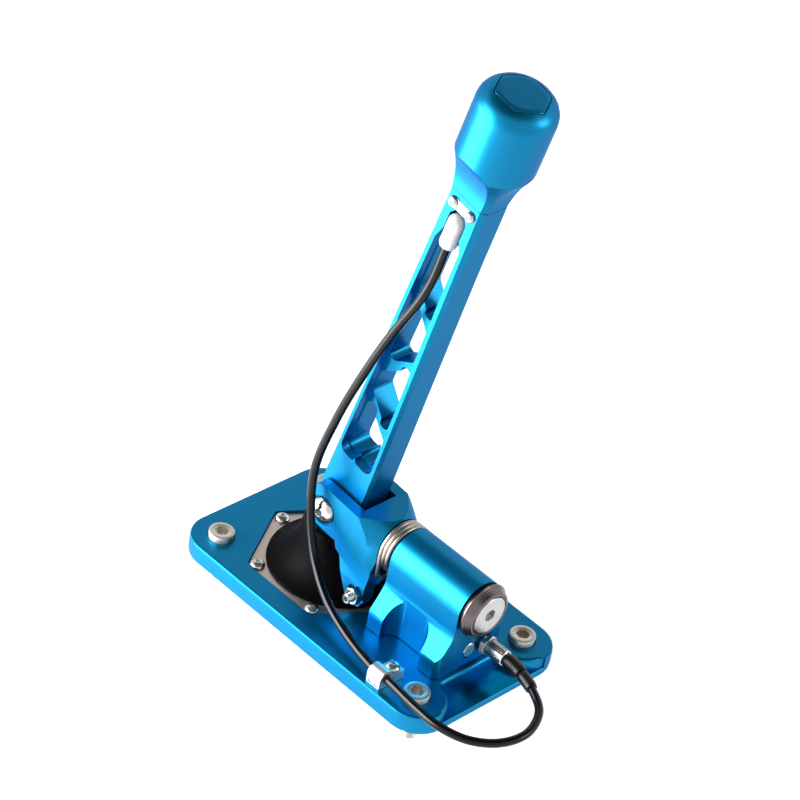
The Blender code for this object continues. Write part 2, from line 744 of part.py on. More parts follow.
# Pivot housing.
side_z = SHAFT_Z - HOUSING_SIDE_DROP
housing_side = [
    (HOUSING_FOOT_HALF_WIDTH, HOUSING_BASE_Z, 0),
    (HOUSING_FOOT_HALF_WIDTH, HOUSING_FOOT_TOP_Z, HOUSING_FOOT_CURVE),
    (HOUSING_RADIUS, side_z, HOUSING_WAIST_CURVE),
]
housing_profile = rounded(
    [
        *housing_side,
        *[(y, z, 0) for y, z in arc(0, SHAFT_Z, HOUSING_RADIUS, 0, 180, 24)],
        *[(-y, z, radius) for y, z, radius in reversed(housing_side)],
    ],
    6,
)
housing = add(
    "pivot_housing", prism("housing", "X", housing_profile, HOUSING_START_X, HOUSING_END_X), blue, base
)
housing_plan = rounded(
    [
        (HOUSING_START_X - 0.01, -HOUSING_FOOT_HALF_WIDTH - 0.0002, 0),
        (HOUSING_END_X + 0.0002, -HOUSING_FOOT_HALF_WIDTH - 0.0002, HOUSING_CORNER),
        (HOUSING_END_X + 0.0002, HOUSING_FOOT_HALF_WIDTH + 0.0002, HOUSING_CORNER),
        (HOUSING_START_X - 0.01, HOUSING_FOOT_HALF_WIDTH + 0.0002, 0),
    ],
    6,
)
trim(housing, prism("housing_plan", "Z", housing_plan, 0.0, 0.09))
for side in (-1, 1):
    pocket = rounded(
        [
            (POCKET_START_X, side * (HOUSING_FOOT_HALF_WIDTH + 0.01), 0),
            (POCKET_START_X, side * POCKET_WALL_Y, POCKET_CORNER),
            (POCKET_END_X, side * POCKET_WALL_Y, POCKET_CORNER),
            (POCKET_END_X, side * (HOUSING_FOOT_HALF_WIDTH + 0.01), 0),
        ],
        6,
    )
    cut(housing, prism("side_pocket", "Z", pocket, 0.0, 0.06))
bush_bore = BUSH_RADIUS + HOLE_GAP
cut(
    housing,
    cylinder("shaft_bore", "X", bush_bore, 0.0, 0.09, (0.0, SHAFT_Z)),
    cylinder("stop_bore", "X", STOP_PIN_RADIUS + HOLE_GAP, 0.0, 0.09, (0.0, STOP_PIN_Z)),
    cylinder("anchor_bore", "X", PIN_RADIUS + HOLE_GAP, 0.01, HOUSING_START_X + 0.012,
             (0.0, SHAFT_Z - ANCHOR_PIN_DROP), 12),
)
barrel_tip_x = HOUSING_END_X + BARREL_GAP_X - BARREL_THREAD_LENGTH
plunger_end_x = PLUNGER_START_X + PLUNGER_LENGTH
cable_passage = turned(
    "cable_passage",
    "X",
    [
        (0, 0.0),
        (PLUNGER_RADIUS + HOLE_GAP, 0.0),
        (PLUNGER_RADIUS + HOLE_GAP, plunger_end_x + PLUNGER_TRAVEL + SEAT_GAP),
        (BARREL_THREAD_RADIUS + HOLE_GAP, barrel_tip_x - SEAT_GAP),
        (BARREL_THREAD_RADIUS + HOLE_GAP, 0.09),
        (0, 0.09),
    ],
    (PLUNGER_Y, PLUNGER_Z),
    18,
)
cut(housing, cable_passage)
bolt_tap_top = PLATE_THICKNESS + HOUSING_BOLT_REACH + SEAT_GAP
cut(
    housing,
    gathered(
        "bolt_taps",
        [cylinder("tap", "Z", HOUSING_BOLT_RADIUS + HOLE_GAP, 0.0, bolt_tap_top, c, 12) for c in housing_bolts],
    ),
)

# Bushes in the housing: a flange at the cap end, a spring guide at the yoke end.
bush_in = SHAFT_RADIUS + HOLE_GAP
cap_bush = [
    (bush_in, HOUSING_END_X - BUSH_LENGTH),
    (BUSH_RADIUS, HOUSING_END_X - BUSH_LENGTH),
    (BUSH_RADIUS, HOUSING_END_X + SEAT_GAP),
    (BUSH_FLANGE_RADIUS, HOUSING_END_X + SEAT_GAP),
    (BUSH_FLANGE_RADIUS, BUSH_END_X),
    (bush_in, BUSH_END_X),
    (bush_in, HOUSING_END_X - BUSH_LENGTH),
]
guide_start = YOKE_END_X + SEAT_GAP
yoke_bush = [
    (bush_in, guide_start),
    (SPRING_GUIDE_RADIUS, guide_start),
    (SPRING_GUIDE_RADIUS, HOUSING_START_X - SEAT_GAP),
    (BUSH_RADIUS, HOUSING_START_X - SEAT_GAP),
    (BUSH_RADIUS, HOUSING_START_X + BUSH_LENGTH),
    (bush_in, HOUSING_START_X + BUSH_LENGTH),
    (bush_in, guide_start),
]
add("cap_bush", turned("cap_bush", "X", cap_bush, (0.0, SHAFT_Z)), bearing, base)
add("yoke_bush", turned("yoke_bush", "X", yoke_bush, (0.0, SHAFT_Z)), bearing, base)
pin_edge = 0.0004
stop_pin = [
    (0, STOP_PIN_START_X),
    (STOP_PIN_RADIUS - pin_edge, STOP_PIN_START_X),
    (STOP_PIN_RADIUS, STOP_PIN_START_X + pin_edge),
    (STOP_PIN_RADIUS, HOUSING_END_X - pin_edge),
    (STOP_PIN_RADIUS - pin_edge, HOUSING_END_X),
    (0, HOUSING_END_X),
]
add("stop_pin", turned("stop_pin", "X", stop_pin, (0.0, STOP_PIN_Z)), hard_steel, base)
anchor = cylinder(
    "anchor", "X", PIN_RADIUS, YOKE_END_X + 0.0009, HOUSING_START_X + 0.0117, (0.0, SHAFT_Z - ANCHOR_PIN_DROP), 12
)
add("spring_anchor_pin", anchor, hard_steel, base)

# Cable adjuster: threaded barrel with a fluted grip, and its lock nut.
nut_x = HOUSING_END_X + LOCK_NUT_STANDOFF
barrel_x = HOUSING_END_X + BARREL_GAP_X
barrel_end_x = barrel_x + BARREL_LENGTH
grip = []
for i in range(BARREL_FLUTES * 2):
    reach = BARREL_RADIUS - (BARREL_FLUTE_DEPTH if i % 2 else 0)
    angle = math.pi * i / BARREL_FLUTES
    grip.append((PLUNGER_Y + reach * math.cos(angle), PLUNGER_Z + reach * math.sin(angle)))
barrel = add("adjuster_barrel", prism("grip", "X", grip, barrel_x, barrel_end_x), steel, base, smooth=False)
fuse(
    barrel,
    cylinder("thread", "X", BARREL_THREAD_RADIUS, barrel_tip_x, barrel_x + 0.002, (PLUNGER_Y, PLUNGER_Z), 18),
)
add(
    "adjuster_nut",
    nut("adjuster_nut", "X", LOCK_NUT_FLATS, LOCK_NUT_THICKNESS, BARREL_THREAD_RADIUS + HOLE_GAP,
        nut_x, (PLUNGER_Y, PLUNGER_Z), 20.0),
    steel,
    base,
)
plunger_profile = [
    (0, PLUNGER_START_X),
    (PLUNGER_RADIUS * 0.7, PLUNGER_START_X),
    (PLUNGER_RADIUS, PLUNGER_START_X + 0.001),
    (PLUNGER_RADIUS, plunger_end_x),
    (0, plunger_end_x),
]
add("lock_plunger", turned("plunger", "X", plunger_profile, segments=18), hard_steel, plunger_axes)

# Torsion spring.
coil_start = YOKE_END_X + SEAT_GAP + SPRING_WIRE_RADIUS
steps = 14
coil = []
for i in range(int(SPRING_TURNS * steps) + 1):
    angle = math.pi - math.tau * i / steps
    coil.append(
        (
            coil_start + SPRING_PITCH * i / steps,
            SPRING_RADIUS * math.cos(angle),
            SHAFT_Z + SPRING_RADIUS * math.sin(angle),
        )
    )
hook_y = PIN_RADIUS + SPRING_WIRE_RADIUS + SEAT_GAP
hook_z = SHAFT_Z - SPRING_LEG_DROP


def spring_leg(x, side):
    """A leg from the coil's side down, in under the shaft and down past the pins."""
    bend = SPRING_BEND
    leg = [(side * SPRING_RADIUS, SHAFT_Z - 0.004)]
    leg += arc(side * (SPRING_RADIUS - bend), hook_z + bend, bend, 0 if side > 0 else 180,
               -90 if side > 0 else 270, 4)
    leg += arc(side * (hook_y + bend), hook_z - bend, bend, 90, 180 if side > 0 else 0, 4)
    leg.append((side * hook_y, hook_z - SPRING_HOOK - bend))
    return [(x, y, z) for y, z in leg]


wire = [*reversed(spring_leg(coil[0][0], -1)), *coil, *spring_leg(coil[-1][0], 1)]
tube("torsion_spring", wire, SPRING_WIRE_RADIUS, stainless, base)

# Yoke: cheeks and legs seen from the side, trimmed by its cross-section and by a taper to the spring.
yoke_side = rounded(
    [
        (YOKE_START_X, YOKE_TOP_FRONT, YOKE_NOSE_RADIUS),
        (YOKE_START_X, -0.0056, YOKE_NOSE_RADIUS),
        (-0.0193, -0.0082, 0.003),
        (-0.0093, -0.0137, 0.004),
        (-0.0053, -0.0197, 0.003),
        (YOKE_LEG_START_X - 0.0003, -0.0283, 0),
        (0.0016, -YOKE_LEG_BOTTOM, 0.001),
        (YOKE_END_X - 0.0015, -YOKE_LEG_BOTTOM, 0.002),
        (YOKE_END_X, -0.026, 0),
        (YOKE_END_X, YOKE_TOP_REAR, 0),
        (SLOT_END_X, YOKE_TOP_REAR, 0),
    ]
)
yoke = add("yoke", prism("yoke", "Y", yoke_side, -0.03, 0.03), blue, yoke_axes)
half_section = [
    (YOKE_LEG_INNER, -0.05),
    (YOKE_LEG_HALF_WIDTH, -0.05),
    (YOKE_LEG_HALF_WIDTH, -YOKE_FLARE_BOTTOM),
    (CHEEK_HALF_WIDTH, -YOKE_FLARE_TOP),
    (CHEEK_HALF_WIDTH, 0.05),
]
arch = arc(YOKE_LEG_INNER - YOKE_ARCH_RADIUS, -YOKE_UNDERSIDE - YOKE_ARCH_RADIUS, YOKE_ARCH_RADIUS, 90, 0, 4)
section = [*half_section, *[(-a, b) for a, b in reversed(half_section)]]
section += [(-a, b) for a, b in reversed(arch)] + arch
trim(yoke, prism("yoke_section", "X", section, -0.06, 0.04))


def taper_outline(x):
    """Half round above the shaft, upright sides, then a flare, at one place along the shaft."""
    radius = HOUSING_RADIUS - SEAT_GAP + YOKE_TAPER * (YOKE_END_X - x)
    low, out = -YOKE_SIDE_DROP, radius + 0.012
    side = [(out, -0.06), (out, low - 0.0095), (radius + 0.002, low - 0.0008), (radius, low + 0.003)]
    return [*side, *arc(0, 0, radius, 0, 180, 20), *[(-a, b) for a, b in reversed(side)]]


trim(yoke, loft("yoke_taper", "X", [(x, taper_outline(x)) for x in (-0.05, YOKE_END_X + 0.007)]))
slot = [(-0.05, -SLOT_HALF_WIDTH), (SLOT_END_X, -SLOT_HALF_WIDTH), (SLOT_END_X, SLOT_HALF_WIDTH),
        (-0.05, SLOT_HALF_WIDTH)]
boot_relief = [(r + BOOT_RELIEF, z - SHAFT_Z) for r, z in boot_outside]
boot_relief.append((BOOT_NECK_RADIUS + BOOT_RELIEF, boot_top_z + BOOT_RELIEF - SHAFT_Z))
boot_relief = [(0, -0.04), (boot_relief[0][0], -0.04), *boot_relief, (0, boot_relief[-1][1])]


def screw_way(name, bore, spot, floor, place):
    """A hole with a spot face, from the middle out to both sides."""
    ways = []
    for side in (-1, 1):
        profile = [(0, side * 0.005), (bore, side * 0.005), (bore, side * floor), (spot, side * floor),
                   (spot, side * 0.03), (0, side * 0.03)]
        ways.append(turned(name, "Y", profile, place, 20))
    return ways


stop_place = (STOP_SCREW_X, -STOP_SCREW_DROP)
stop_ways = screw_way(
    "stop_way", STOP_SCREW_RADIUS + HOLE_GAP, STOP_SPOT_RADIUS, YOKE_LEG_HALF_WIDTH - STOP_SPOT_DEPTH, stop_place
)
pivot_ways = screw_way(
    "pivot_way", PIVOT_BOLT_RADIUS + HOLE_GAP, PIVOT_SPOT_RADIUS, CHEEK_HALF_WIDTH - PIVOT_SPOT_DEPTH,
    (BOOT_X, PIVOT_RISE),
)
cut(
    yoke,
    gathered(
        "yoke_bores",
        [
            prism("lever_slot", "Z", slot, -0.05, 0.05),
            cylinder("shaft_socket", "X", SHAFT_RADIUS + HOLE_GAP, SHAFT_START_X - SEAT_GAP, 0.03),
            cylinder("drive_bore", "X", PIN_RADIUS + HOLE_GAP, YOKE_END_X - 0.0083, 0.03,
                     (0.0, -DRIVE_PIN_DROP), 12),
            *stop_ways,
        ],
    ),
    gathered("boot_and_pivot", [turned("boot_relief", "Z", boot_relief, (BOOT_X, 0.0), 36), *pivot_ways]),
)
drive_pin = cylinder(
    "drive_pin", "X", PIN_RADIUS, YOKE_END_X - 0.008, HOUSING_START_X - 0.0007, (0.0, -DRIVE_PIN_DROP), 12
)
add("spring_drive_pin", drive_pin, hard_steel, yoke_axes)

# Cross shaft, end cap and screw.
screw_tip_x = CAP_START_X + CAP_LENGTH - CAP_SCREW_LENGTH
shaft_profile = [
    (0, SHAFT_START_X),
    (SHAFT_RADIUS, SHAFT_START_X),
    (SHAFT_RADIUS, SHAFT_END_X),
    (CAP_SCREW_RADIUS + HOLE_GAP, SHAFT_END_X),
    (CAP_SCREW_RADIUS + HOLE_GAP, screw_tip_x - SEAT_GAP),
    (0, screw_tip_x - SEAT_GAP),
]
add("cross_shaft", turned("cross_shaft", "X", shaft_profile), hard_steel, yoke_axes)
cap_front_x = CAP_START_X + CAP_LENGTH
head_depth = CAP_SCREW_HEAD_RADIUS - CAP_SCREW_RADIUS
countersink = CAP_SCREW_HEAD_RADIUS + 2 * HOLE_GAP
cone_depth = min(countersink - CAP_SCREW_RADIUS - HOLE_GAP, CAP_LENGTH - CAP_LAND)
cap_bore = countersink - cone_depth
cap_profile = [
    (cap_bore, CAP_START_X),
    (CAP_BACK_RADIUS, CAP_START_X),
    (CAP_BACK_RADIUS, CAP_START_X + CAP_RIM),
    (CAP_FRONT_RADIUS, cap_front_x),
    (countersink, cap_front_x),
    (cap_bore, cap_front_x - cone_depth),
    (cap_bore, CAP_START_X),
]
add("end_cap", turned("end_cap", "X", cap_profile, segments=30), stainless, yoke_axes)
head_x = cap_front_x + CAP_SCREW_PROUD
cap_screw_profile = [
    (0, screw_tip_x),
    (CAP_SCREW_RADIUS, screw_tip_x),
    (CAP_SCREW_RADIUS, head_x - head_depth - 0.0003),
    (CAP_SCREW_HEAD_RADIUS, head_x - 0.0003),
    (CAP_SCREW_HEAD_RADIUS, head_x),
    (0.003, head_x, 6),
    (0.003, head_x - 0.003, 6),
    (0, head_x - 0.003),
]
add("end_cap_screw", turned("end_cap_screw", "X", cap_screw_profile, segments=30), steel, yoke_axes)

# Pivot bolt, nut and thrust washers.
seat_y = CHEEK_HALF_WIDTH - PIVOT_SPOT_DEPTH + SEAT_GAP
bolt_end_y = seat_y + PIVOT_NUT_THICKNESS + PIVOT_BOLT_PAST_NUT
pivot_bolt = button_screw(
    "pivot_bolt", "Y", PIVOT_HEAD_RADIUS, PIVOT_HEAD_HEIGHT, PIVOT_BOLT_RADIUS, bolt_end_y, -seat_y,
    (BOOT_X, PIVOT_RISE), way=-1, segments=24,
)
add("pivot_bolt", pivot_bolt, steel, yoke_axes)
pivot_nut = nut(
    "pivot_nut", "Y", PIVOT_NUT_FLATS, PIVOT_NUT_THICKNESS, PIVOT_BOLT_RADIUS + HOLE_GAP, seat_y,
    (BOOT_X, PIVOT_RISE),
)
add("pivot_nut", pivot_nut, steel, yoke_axes)
washer_in, washer_out = LEVER_HALF_THICKNESS + SEAT_GAP, SLOT_HALF_WIDTH - SEAT_GAP
bore = PIVOT_BOLT_RADIUS + HOLE_GAP
washer_profile = [
    (bore, washer_in),
    (WASHER_RADIUS, washer_in),
    (WASHER_RADIUS, washer_out),
    (bore, washer_out),
    (bore, washer_in),
]
washer = turned("thrust_washer", "Y", washer_profile)
add_copies("thrust_washer", washer, bearing, yoke_axes, [(BOOT_X, 0.0, PIVOT_RISE)] * 2, (True, False))

# Side stop screws and their lock nuts.
stop_edge, stop_socket = 0.0004, 0.00125
stop_profile = [
    (0, STOP_SCREW_INNER),
    (STOP_SCREW_RADIUS - stop_edge, STOP_SCREW_INNER),
    (STOP_SCREW_RADIUS, STOP_SCREW_INNER + stop_edge),
    (STOP_SCREW_RADIUS, STOP_SCREW_OUTER - stop_edge),
    (STOP_SCREW_RADIUS - stop_edge, STOP_SCREW_OUTER),
    (stop_socket, STOP_SCREW_OUTER, 6),
    (stop_socket, STOP_SCREW_OUTER - 2 * stop_socket, 6),
    (0, STOP_SCREW_OUTER - 2 * stop_socket),
]
stop_nut_start = YOKE_LEG_HALF_WIDTH - STOP_SPOT_DEPTH + SEAT_GAP
stop_nut = nut(
    "stop_nut", "Y", STOP_NUT_FLATS, STOP_NUT_THICKNESS, STOP_SCREW_RADIUS + HOLE_GAP, stop_nut_start, turn=0.0
)
stop_places = [(STOP_SCREW_X, 0.0, -STOP_SCREW_DROP)] * 2
stop_screw = turned("stop_screw", "Y", stop_profile, segments=12)
add_copies("stop_screw", stop_screw, steel, yoke_axes, stop_places, (True, False))
add_copies("stop_nut", stop_nut, steel, yoke_axes, stop_places, (True, False))


# Lever.
def between(low, at_low, high, at_high, place):
    return at_low + (at_high - at_low) * (place - low) / (high - low)


def front_edge(z):
    if z > LEVER_WAIST:
        return -between(LEVER_WAIST, LEVER_WAIST_FRONT, LEVER_TOP, LEVER_TOP_FRONT, z)
    return -between(LEVER_FOOT, LEVER_FOOT_FRONT, LEVER_WAIST, LEVER_WAIST_FRONT, z)


def rear_edge(z):
    if z > LEVER_WAIST:
        return between(LEVER_WAIST, LEVER_WAIST_REAR, LEVER_TOP, LEVER_TOP_REAR, z)
    return between(LEVER_FOOT, LEVER_FOOT_REAR, LEVER_WAIST, LEVER_WAIST_REAR, z)


def pocket_front(z):
    return front_edge(z) + LEVER_RIM_FRONT


def pocket_rear(z):
    return rear_edge(z) - LEVER_RIM_REAR


def window_front(z):
    return pocket_front(z) + WINDOW_LEDGE


def window_rear(z):
    return WINDOW_REAR_TOP + WINDOW_REAR_TAPER * max(0.0, LEVER_WAIST - z)


def front_side(z):
    return front_edge(z) - LEVER_CHAMFER_FRONT * chamfer_share(z)


def rear_side(z):
    return rear_edge(z) + LEVER_CHAMFER_TOP * chamfer_share(z)


def chamfer_share(z):
    """How much of the chamfer at the lever's top is there at a height."""
    return between(LEVER_FOOT, LEVER_CHAMFER_FOOT / LEVER_CHAMFER_TOP, LEVER_TOP, 1.0, z)


def chamfer_outline(z):
    """The chamfers' section at a height, standing clear of the blade's own flat sides."""
    clear, depth = 0.0005, LEVER_CHAMFER_DEPTH * chamfer_share(z)
    half = []
    for edge, side in ((rear_edge(z), rear_side(z)), (front_edge(z), front_side(z))):
        out = math.copysign(clear, side)
        slope = depth / (side - edge)
        half.append([(edge - clear / slope, LEVER_HALF_THICKNESS + clear),
                     (side + out, LEVER_HALF_THICKNESS - depth - out * slope)])
    corners = [*reversed(half[0]), *half[1]]
    return [*corners, *[(x, -y) for x, y in reversed(corners)]]


blade = rounded(
    [
        (front_side(LEVER_TOP), LEVER_TOP, 0),
        (front_side(LEVER_WAIST), LEVER_WAIST, 0),
        (front_side(LEVER_FOOT), LEVER_FOOT, 0.004),
        (front_side(LEVER_FOOT) - 0.0002, -0.6 * BOSS_DROP, 0.006),
        (-ARM_HALF_WIDTH - 0.0007, -BOSS_DROP, 0),
        (ARM_HALF_WIDTH + 0.0007, -BOSS_DROP, 0),
        (rear_side(LEVER_FOOT) - 0.0006, -0.6 * BOSS_DROP, 0.006),
        (rear_side(LEVER_FOOT), LEVER_FOOT + 0.002, 0.004),
        (rear_side(LEVER_WAIST), LEVER_WAIST, 0),
        (rear_side(LEVER_TOP), LEVER_TOP, 0),
    ]
)
lever = add(
    "lever", prism("blade", "Y", blade, -LEVER_HALF_THICKNESS, LEVER_HALF_THICKNESS), blue, lever_axes
)
past_top = LEVER_TOP + 0.002
trim(lever, loft("lever_section", "Z", [(z, chamfer_outline(z)) for z in (-0.02, LEVER_WAIST, past_top)]))
eye_start = math.degrees(math.asin(ARM_HALF_WIDTH / EYE_RADIUS))
arm = [(-ARM_HALF_WIDTH, -0.01), *arc(0.0, -ARM_LENGTH, EYE_RADIUS, 90 + eye_start, 450 - eye_start, 18),
       (ARM_HALF_WIDTH, -0.01)]
fuse(
    lever,
    gathered(
        "arm_and_stud",
        [
            prism("arm", "Y", arm, -ARM_HALF_THICKNESS, ARM_HALF_THICKNESS),
            cylinder("stud", "Z", STUD_RADIUS, LEVER_TOP - 0.002, LEVER_TOP + STUD_LENGTH, (KNOB_X, 0.0), 18),
        ],
    ),
)
keyhole = FERRULE_RADIUS + 0.001
lobe_front = (pocket_front(0.036) + 0.0004) / 2
lobe_rear = (pocket_rear(0.036) + 0.0004) / 2
pocket = rounded(
    [
        (-KEYHOLE_SLOT_FRONT, BRIDGE_Z + BRIDGE_HALF_HEIGHT - 0.0005, 0),
        (-KEYHOLE_SLOT_FRONT, KEYHOLE_TOP + 0.0028, 0),
        (FERRULE_X - keyhole, KEYHOLE_TOP, 0.002),
        (FERRULE_X - keyhole, KEYHOLE_BOTTOM, 0),
        (pocket_front(0.176) + 0.0003, 0.176, 0),
        (pocket_front(LEVER_WAIST), LEVER_WAIST, 0),
        (pocket_front(POCKET_BOTTOM), POCKET_BOTTOM, 0.0044),
        (-0.0006, POCKET_BOTTOM, 0.003),
        (0.0004, POCKET_BOTTOM + 0.0028, 0),
        (0.0014, POCKET_BOTTOM, 0.003),
        (pocket_rear(POCKET_BOTTOM), POCKET_BOTTOM, 0.0044),
        (pocket_rear(LEVER_WAIST), LEVER_WAIST, 0),
        (pocket_rear(0.178), 0.178, 0),
        (FERRULE_X + keyhole, KEYHOLE_BOTTOM, 0),
        (FERRULE_X + keyhole, KEYHOLE_TOP, 0.002),
        (KEYHOLE_SLOT_REAR, KEYHOLE_TOP + 0.0028, 0),
        (KEYHOLE_SLOT_REAR, BRIDGE_Z + BRIDGE_HALF_HEIGHT - 0.0005, 0),
    ]
)
lever_cuts = [prism("cable_pocket", "Y", pocket, -0.02, WEB_Y)]
corner = WINDOW_CORNER
windows = [
    [
        (window_front(0.1765), 0.1765, corner),
        (window_front(0.142), 0.142, corner),
        (0.0008, 0.1342, 0),
        (0.0010, 0.1307, corner),
        (window_rear(0.131), 0.1307, corner),
        (window_rear(0.1765), 0.1765, corner),
    ],
    [
        (window_front(0.137), 0.137, corner),
        (window_front(0.0965), 0.0965, corner),
        (-0.0043, 0.0952, corner),
        (window_rear(0.15), 0.1035, corner),
        (window_rear(0.15) - 0.0003, 0.1232, corner),
        (0.0, 0.129, 0.001),
    ],
    [
        (window_front(0.084), 0.0842, corner),
        (window_front(0.0715), 0.0715, corner),
        (0.0019, 0.0618, 0.001),
        (0.0019, 0.0577, corner),
        (window_rear(0.0577) - 0.0003, 0.0577, corner),
        (window_rear(0.0976) + 0.0002, 0.0976, corner),
        (0.0014, 0.0976, corner),
        (0.0014, 0.0937, 0.001),
    ],
    [
        (window_front(0.065), 0.065, 0.0035),
        (window_front(0.0325), POCKET_BOTTOM + 0.0007, 0.0038),
        (-0.0015, POCKET_BOTTOM + 0.0007, 0.0028),
        (-0.0007, POCKET_BOTTOM + 0.0028, 0),
        (0.0001, POCKET_BOTTOM + 0.0007, 0.0028),
        (window_rear(0.0325) + 0.0001, POCKET_BOTTOM + 0.0007, 0.0038),
        (window_rear(0.0512) + 0.0002, 0.0512, 0.002),
        (-0.0013, 0.0592, 0.0015),
        (-0.0019, 0.065, 0.003),
    ],
]
bridge_screws = [(BRIDGE_SCREW_FRONT, BRIDGE_Z), (BRIDGE_SCREW_REAR, BRIDGE_Z)]
bridge_y = -LEVER_HALF_THICKNESS + BRIDGE_SUNK - SEAT_GAP
bridge_tip = bridge_y - BRIDGE_THICKNESS - SEAT_GAP + BRIDGE_SCREW_LENGTH


def strip_outline(half_height):
    """Two half rounds about the screws."""
    front = arc(BRIDGE_SCREW_FRONT, BRIDGE_Z, half_height, 90, 270, 10)
    return front + arc(BRIDGE_SCREW_REAR, BRIDGE_Z, half_height, -90, 90, 10)


lever_cuts += [
    cylinder("pivot_bore", "Y", PIVOT_BUSH_RADIUS + HOLE_GAP, -0.02, 0.02),
    cylinder("eye_bore", "Y", EYE_BORE_RADIUS + HOLE_GAP, -0.02, 0.02, (0.0, -ARM_LENGTH)),
    cylinder("rod_bore", "Z", ROD_RADIUS + HOLE_GAP, ROD_BOTTOM - BUTTON_TRAVEL - SEAT_GAP, 0.24,
             (KNOB_X, 0.0), 12),
]
lever_cuts += [
    cylinder("tap", "Y", BRIDGE_SCREW_RADIUS + HOLE_GAP, -0.02, bridge_tip + SEAT_GAP, c, 12)
    for c in bridge_screws
]
cut(
    lever,
    gathered("windows", [prism("window", "Y", rounded(w), WEB_Y - 0.001, 0.02) for w in windows]),
    prism("strip_seat", "Y", strip_outline(BRIDGE_HALF_HEIGHT + HOLE_GAP), -0.02, bridge_y + SEAT_GAP),
    gathered("lever_cuts", lever_cuts),
)
bush_y = LEVER_HALF_THICKNESS - 0.0002
bush_bore = PIVOT_BOLT_RADIUS + HOLE_GAP
pivot_bush = [(bush_bore, -bush_y), (PIVOT_BUSH_RADIUS, -bush_y), (PIVOT_BUSH_RADIUS, bush_y),
              (bush_bore, bush_y), (bush_bore, -bush_y)]
add("pivot_bush", turned("pivot_bush", "Y", pivot_bush), bearing, lever_axes)
eye_y = ARM_HALF_THICKNESS
eye_bush = [(EYE_BUSH_BORE, -eye_y), (EYE_BORE_RADIUS, -eye_y), (EYE_BORE_RADIUS, eye_y),
            (EYE_BUSH_BORE, eye_y), (EYE_BUSH_BORE, -eye_y)]
add("eye_bush", turned("eye_bush", "Y", eye_bush, (0.0, -ARM_LENGTH)), bearing, lever_axes)

# Ferrule, strip and strip screws.
ferrule_top = FERRULE_BOTTOM + FERRULE_LENGTH
ferrule_profile = [
    (0, FERRULE_BOTTOM),
    (FERRULE_RADIUS - 0.0013, FERRULE_BOTTOM),
    (FERRULE_RADIUS - 0.0004, FERRULE_BOTTOM + 0.0005),
    (FERRULE_RADIUS, FERRULE_BOTTOM + 0.0015),
    *[
        (FERRULE_RADIUS * math.cos(math.radians(a)), ferrule_top - FERRULE_DOME * (1 - math.sin(math.radians(a))))
        for a in (0, 20, 40, 60, 76)
    ],
    (0, ferrule_top),
]
ferrule = turned("ferrule", "Z", ferrule_profile, (FERRULE_X, FERRULE_Y))
add("cable_ferrule", ferrule, nylon, lever_axes)
strip = prism("strip", "Y", strip_outline(BRIDGE_HALF_HEIGHT), bridge_y - BRIDGE_THICKNESS, bridge_y)
bridge = add("retainer_strip", strip, bright, lever_axes)
cut(
    bridge,
    gathered(
        "strip_holes",
        [cylinder("hole", "Y", BRIDGE_SCREW_RADIUS + HOLE_GAP, -0.02, 0.0, c, 12) for c in bridge_screws],
    ),
)
head_seat = bridge_y - BRIDGE_THICKNESS - SEAT_GAP
strip_screw = button_screw(
    "retainer_screw", "Y", BRIDGE_HEAD_RADIUS, BRIDGE_HEAD_HEIGHT, BRIDGE_SCREW_RADIUS,
    bridge_tip, head_seat, way=-1, segments=12,
)
add_copies("retainer_screw", strip_screw, steel, lever_axes, [(x, 0.0, z) for x, z in bridge_screws])

# Knob: turned body with four scallops that run into the lever's sides.
knob_outline = [(0, KNOB_BOTTOM), (KNOB_NECK_RADIUS, KNOB_BOTTOM)]
swell = KNOB_SHOULDER - KNOB_BOTTOM
for i in range(1, 8):
    share = i / 7
    radius = KNOB_NECK_RADIUS + (KNOB_RADIUS - KNOB_NECK_RADIUS) * (0.45 * share + 0.55 * share**2.2)
    knob_outline.append((radius, KNOB_BOTTOM + swell * share))
knob_crown = [
    (KNOB_RADIUS - KNOB_EDGE + KNOB_EDGE * math.cos(math.radians(a)), KNOB_RIM + KNOB_EDGE * math.sin(math.radians(a)))
    for a in range(0, 91, 18)
]
knob_outline += [*knob_crown, (0, KNOB_TOP)]
knob = add("knob", turned("knob", "Z", knob_outline, (KNOB_X, 0.0), 36), blue, lever_axes)
side_walls = (front_side(LEVER_TOP) - SCALLOP_RADIUS, rear_side(LEVER_TOP) + SCALLOP_RADIUS)
end_walls = [side * (LEVER_HALF_THICKNESS + SCALLOP_RADIUS) for side in (-1, 1)]
for axis, middles in (("Y", side_walls), ("X", end_walls)):
    scallops = [cylinder("scallop", axis, SCALLOP_RADIUS, -0.04, 0.04, (m, KNOB_BOTTOM), 54) for m in middles]
    cut(knob, gathered("scallops", scallops))


def rounded_hexagon(circumradius, fillet):
    return rounded([(x, y, fillet) for x, y in arc(0, 0, circumradius, 0, 300, 5)])


